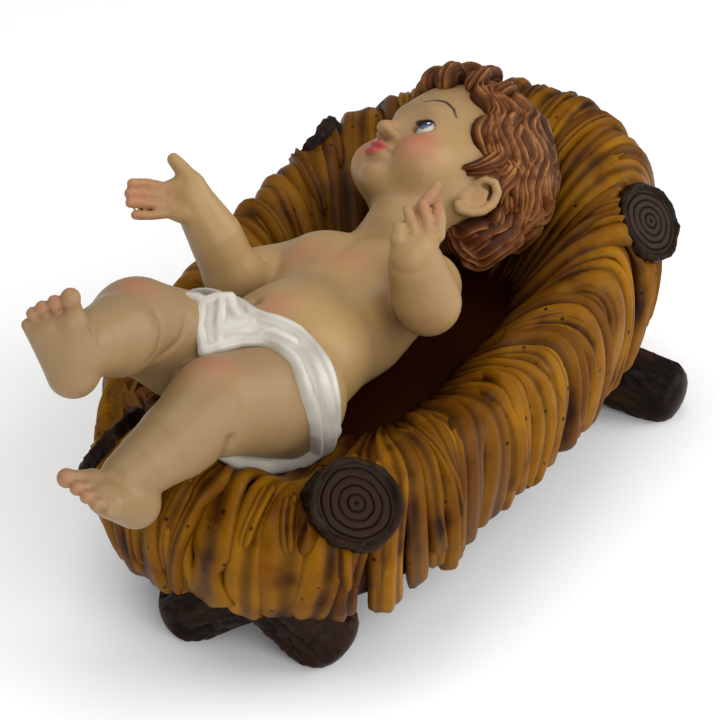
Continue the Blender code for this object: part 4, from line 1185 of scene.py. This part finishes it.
def make_log(heap, route, cut_normal, seed):
    places = smooth_route(route, 26)
    ways = unit_rows(np.gradient(places, axis=0))
    cut_way = -unit(cut_normal)
    run = np.concatenate([[0], np.cumsum(np.linalg.norm(np.diff(places, axis=0), axis=1))])
    turns = np.linspace(0, 2 * math.pi, LOG_SIDES, endpoint=False)
    rings, marks = [], []
    place_seed = Vector((seed * 7.3, seed * 3.1, seed))

    def ring_at(centre, way, radii, lift, mark):
        side = unit(np.cross(way, (1, 0, 0.2)))
        other = np.cross(way, side)
        ring = centre + np.outer(np.cos(turns) * radii, side) + np.outer(np.sin(turns) * radii, other)
        rings.append(ring - way * (lift if np.isscalar(lift) else np.asarray(lift)[:, None]))
        marks.append(np.broadcast_to(mark, LOG_SIDES))

    face_radius = LOG_DIAMETER / 2 * 0.78
    for share in np.linspace(0.03, 1, 44):
        cut = 0.8 * (share < 0.06)
        if share > 0.12:
            cut = math.exp(-((share * 4.3 + 0.5) % 1 - 0.5) ** 2 / 0.008)
        wobble = 1 + (0.03 * np.sin(2 * turns + seed) + 0.02 * np.sin(3 * turns + 2 * seed)
                      + 0.012 * np.sin(7 * turns + share * 9))
        ring_at(places[0], cut_way, face_radius * share * wobble, 0.3 * (1 - share) - 0.75 * cut, 1 + cut)
    for share, lift, rise in ((1.05, 0.1, 0.5), (1.1, 0.6, 1.0), (1.17, 0.7, 1.0), (1.24, 0.2, 0.7)):
        rough = np.array([noise_round(place_seed, t, 2.2, share * 6)
                          + 0.5 * noise_round(place_seed, t, 7, share * 9) for t in turns])
        ring_at(places[0], cut_way, face_radius * share * (1 + 0.03 * rough), lift + rise * rough,
                0.6 - 0.4 * rough)
    for place, way, length in zip(places[2:], ways[2:], run[2:]):
        blend = min(1, length / 12)
        way = unit(cut_way * (1 - blend) + way * blend)
        radius = (LOG_DIAMETER + (FOOT_DIAMETER - LOG_DIAMETER) * length / run[-1]) / 2
        bark = np.array([bark_height(place_seed, t, length) for t in turns])
        ring_at(place, way, radius + 0.85 * bark - 0.2, 0, np.clip(0.45 - 0.3 * bark, 0, 0.95))
    for reach, share in ((0.2, 0.95), (0.38, 0.82), (0.52, 0.6), (0.6, 0.3), (0.62, 0.08)):
        centre = places[-1] + ways[-1] * reach * FOOT_DIAMETER / 2
        ring_at(centre, ways[-1], FOOT_DIAMETER / 2 * share, 0, 0.4)
    first, after = heap["count"], heap["count"] + len(rings) * LOG_SIDES
    heap["faces"] += tube_faces(first, len(rings), LOG_SIDES, fans=False)
    heap["faces"] += [list(range(first, first + LOG_SIDES))[::-1], list(range(after - LOG_SIDES, after))]
    heap["places"] += rings
    heap["groove"] += marks
    heap["count"] = after


rest = FOOT_DIAMETER / 2 - FOOT_WEAR
log_heap = new_heap()
LOG_BENDS = (((-half + 3, 26 - side, rim - 12), (-half + 1, -6, 19), (-half + 1.2, 11.3, rest)),
             ((-half + 1, side - 25, rim - 13), (-half, -8, 17), (-half + 3.7, -20.7, rest)),
             ((half + 1, 15 - side, rim - 4), (half, 0, 21), (half, side + 2, rest)),
             ((half, side - 14, rim - 2), (half, 0, 21), (half + 3, -3.5 - side, rest)))
for seed, ((top, cut_normal), bends) in enumerate(zip(LOG_ENDS, LOG_BENDS)):
    make_log(log_heap, (top, *bends), cut_normal, seed + 1)
log_places = np.concatenate(log_heap["places"])
logs = thing_of("logs", in_metres(log_places), log_heap["faces"])
give(logs, "groove", np.concatenate(log_heap["groove"]))

# The feet are sawn off flat where they stand
feet = bmesh.new()
feet.from_mesh(logs.data)
sawn = bmesh.ops.bisect_plane(feet, geom=feet.verts[:] + feet.edges[:] + feet.faces[:], dist=1e-7,
                              plane_co=(0, 0, 0), plane_no=(0, 0, 1), clear_inner=True)
bmesh.ops.holes_fill(feet, edges=[e for e in sawn["geom_cut"] if isinstance(e, bmesh.types.BMEdge)], sides=0)
bmesh.ops.recalc_face_normals(feet, faces=feet.faces[:])
feet.to_mesh(logs.data)
feet.free()
logs.data.shade_smooth()

# Umber acrylic on the bark; the sawn ends are dry-brushed a greyish brown between the dark rings
bark_paint = new_paint("umber_acrylic_satin", 0.4, shine=0.08)
mottle = texture(bark_paint, "Noise", Scale=120.0, Detail=5.0)
umber = two_tone(bark_paint, (mottle, "Fac"), (0.35, "#120a05"), (0.7, "#2c190c"))
bark_colour = lay_marks(bark_paint, umber, [("#0a0502", "groove", 0.45, 0.95)])
carved = mark(bark_paint, "groove")
sawn_face = add_node(bark_paint, "Math", {"operation": "GREATER_THAN"}, {1: 0.97}, {0: carved})
bark_colour = lay_over(bark_paint, bark_colour, "#25170b", (sawn_face, "Value"))
bark_colour = lay_marks(bark_paint, bark_colour, [("#0a0503", "groove", 1.15, 1.8)])
finish_paint(bark_paint, bark_colour, texture(bark_paint, "Noise", Scale=500.0, Detail=3.0), 0.35, 0.0005)
logs.data.materials.append(bark_paint)
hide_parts("manger")
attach(logs, "root")


# A plain pale table, soft light from wide panels in front, to the right and overhead, and the
# camera at the photograph's place. Watts are for panels about 1 m away.
bpy.ops.mesh.primitive_grid_add(x_subdivisions=4, y_subdivisions=4, size=6, location=(0, 0, 0))
table = bpy.context.object
table.name = "table"
white = bpy.data.materials.new("white_card")
white.use_nodes = True
white.node_tree.nodes["Principled BSDF"].inputs["Base Color"].default_value = (0.93, 0.93, 0.93, 1)
white.node_tree.nodes["Principled BSDF"].inputs["Roughness"].default_value = 0.9
table.data.materials.append(white)

PANEL_AIM = Vector((0, 0, 0.03))
PANELS = (("front_panel", (-0.75, -0.75, 0.5), 1.0, 10.0), ("right_panel", (0.5, -0.9, 0.6), 0.9, 8.0),
          ("top_panel", (-0.1, 0.3, 1.2), 1.2, 8.0))
for name, place, size, watts in PANELS:
    bpy.ops.object.light_add(type="AREA", location=place)
    light = bpy.context.object
    light.name = name
    light.data.size = size
    light.data.energy = watts
    light.rotation_mode = "QUATERNION"
    light.rotation_quaternion = (PANEL_AIM - Vector(place)).to_track_quat("-Z", "Y")
world = bpy.data.worlds.new("studio")
world.use_nodes = True
world.node_tree.nodes["Background"].inputs["Color"].default_value = (1, 1, 1, 1)
world.node_tree.nodes["Background"].inputs["Strength"].default_value = 0.4
bpy.context.scene.world = world
bpy.context.scene.view_settings.view_transform = "Standard"

CAMERA_AIM = Vector((0.00212, 0.00079, 0.038))
CAMERA_BACK = Vector(FORWARD).normalized()
CAMERA_DISTANCE = 0.62
camera_data = bpy.data.cameras.new("camera")
camera_data.lens = 133.25
camera_data.sensor_width = 36
camera = bpy.data.objects.new("camera", camera_data)
bpy.context.collection.objects.link(camera)
camera.location = CAMERA_AIM + CAMERA_BACK * CAMERA_DISTANCE
camera.rotation_mode = "QUATERNION"
camera.rotation_quaternion = CAMERA_BACK.to_track_quat("Z", "Y")
bpy.context.scene.camera = camera
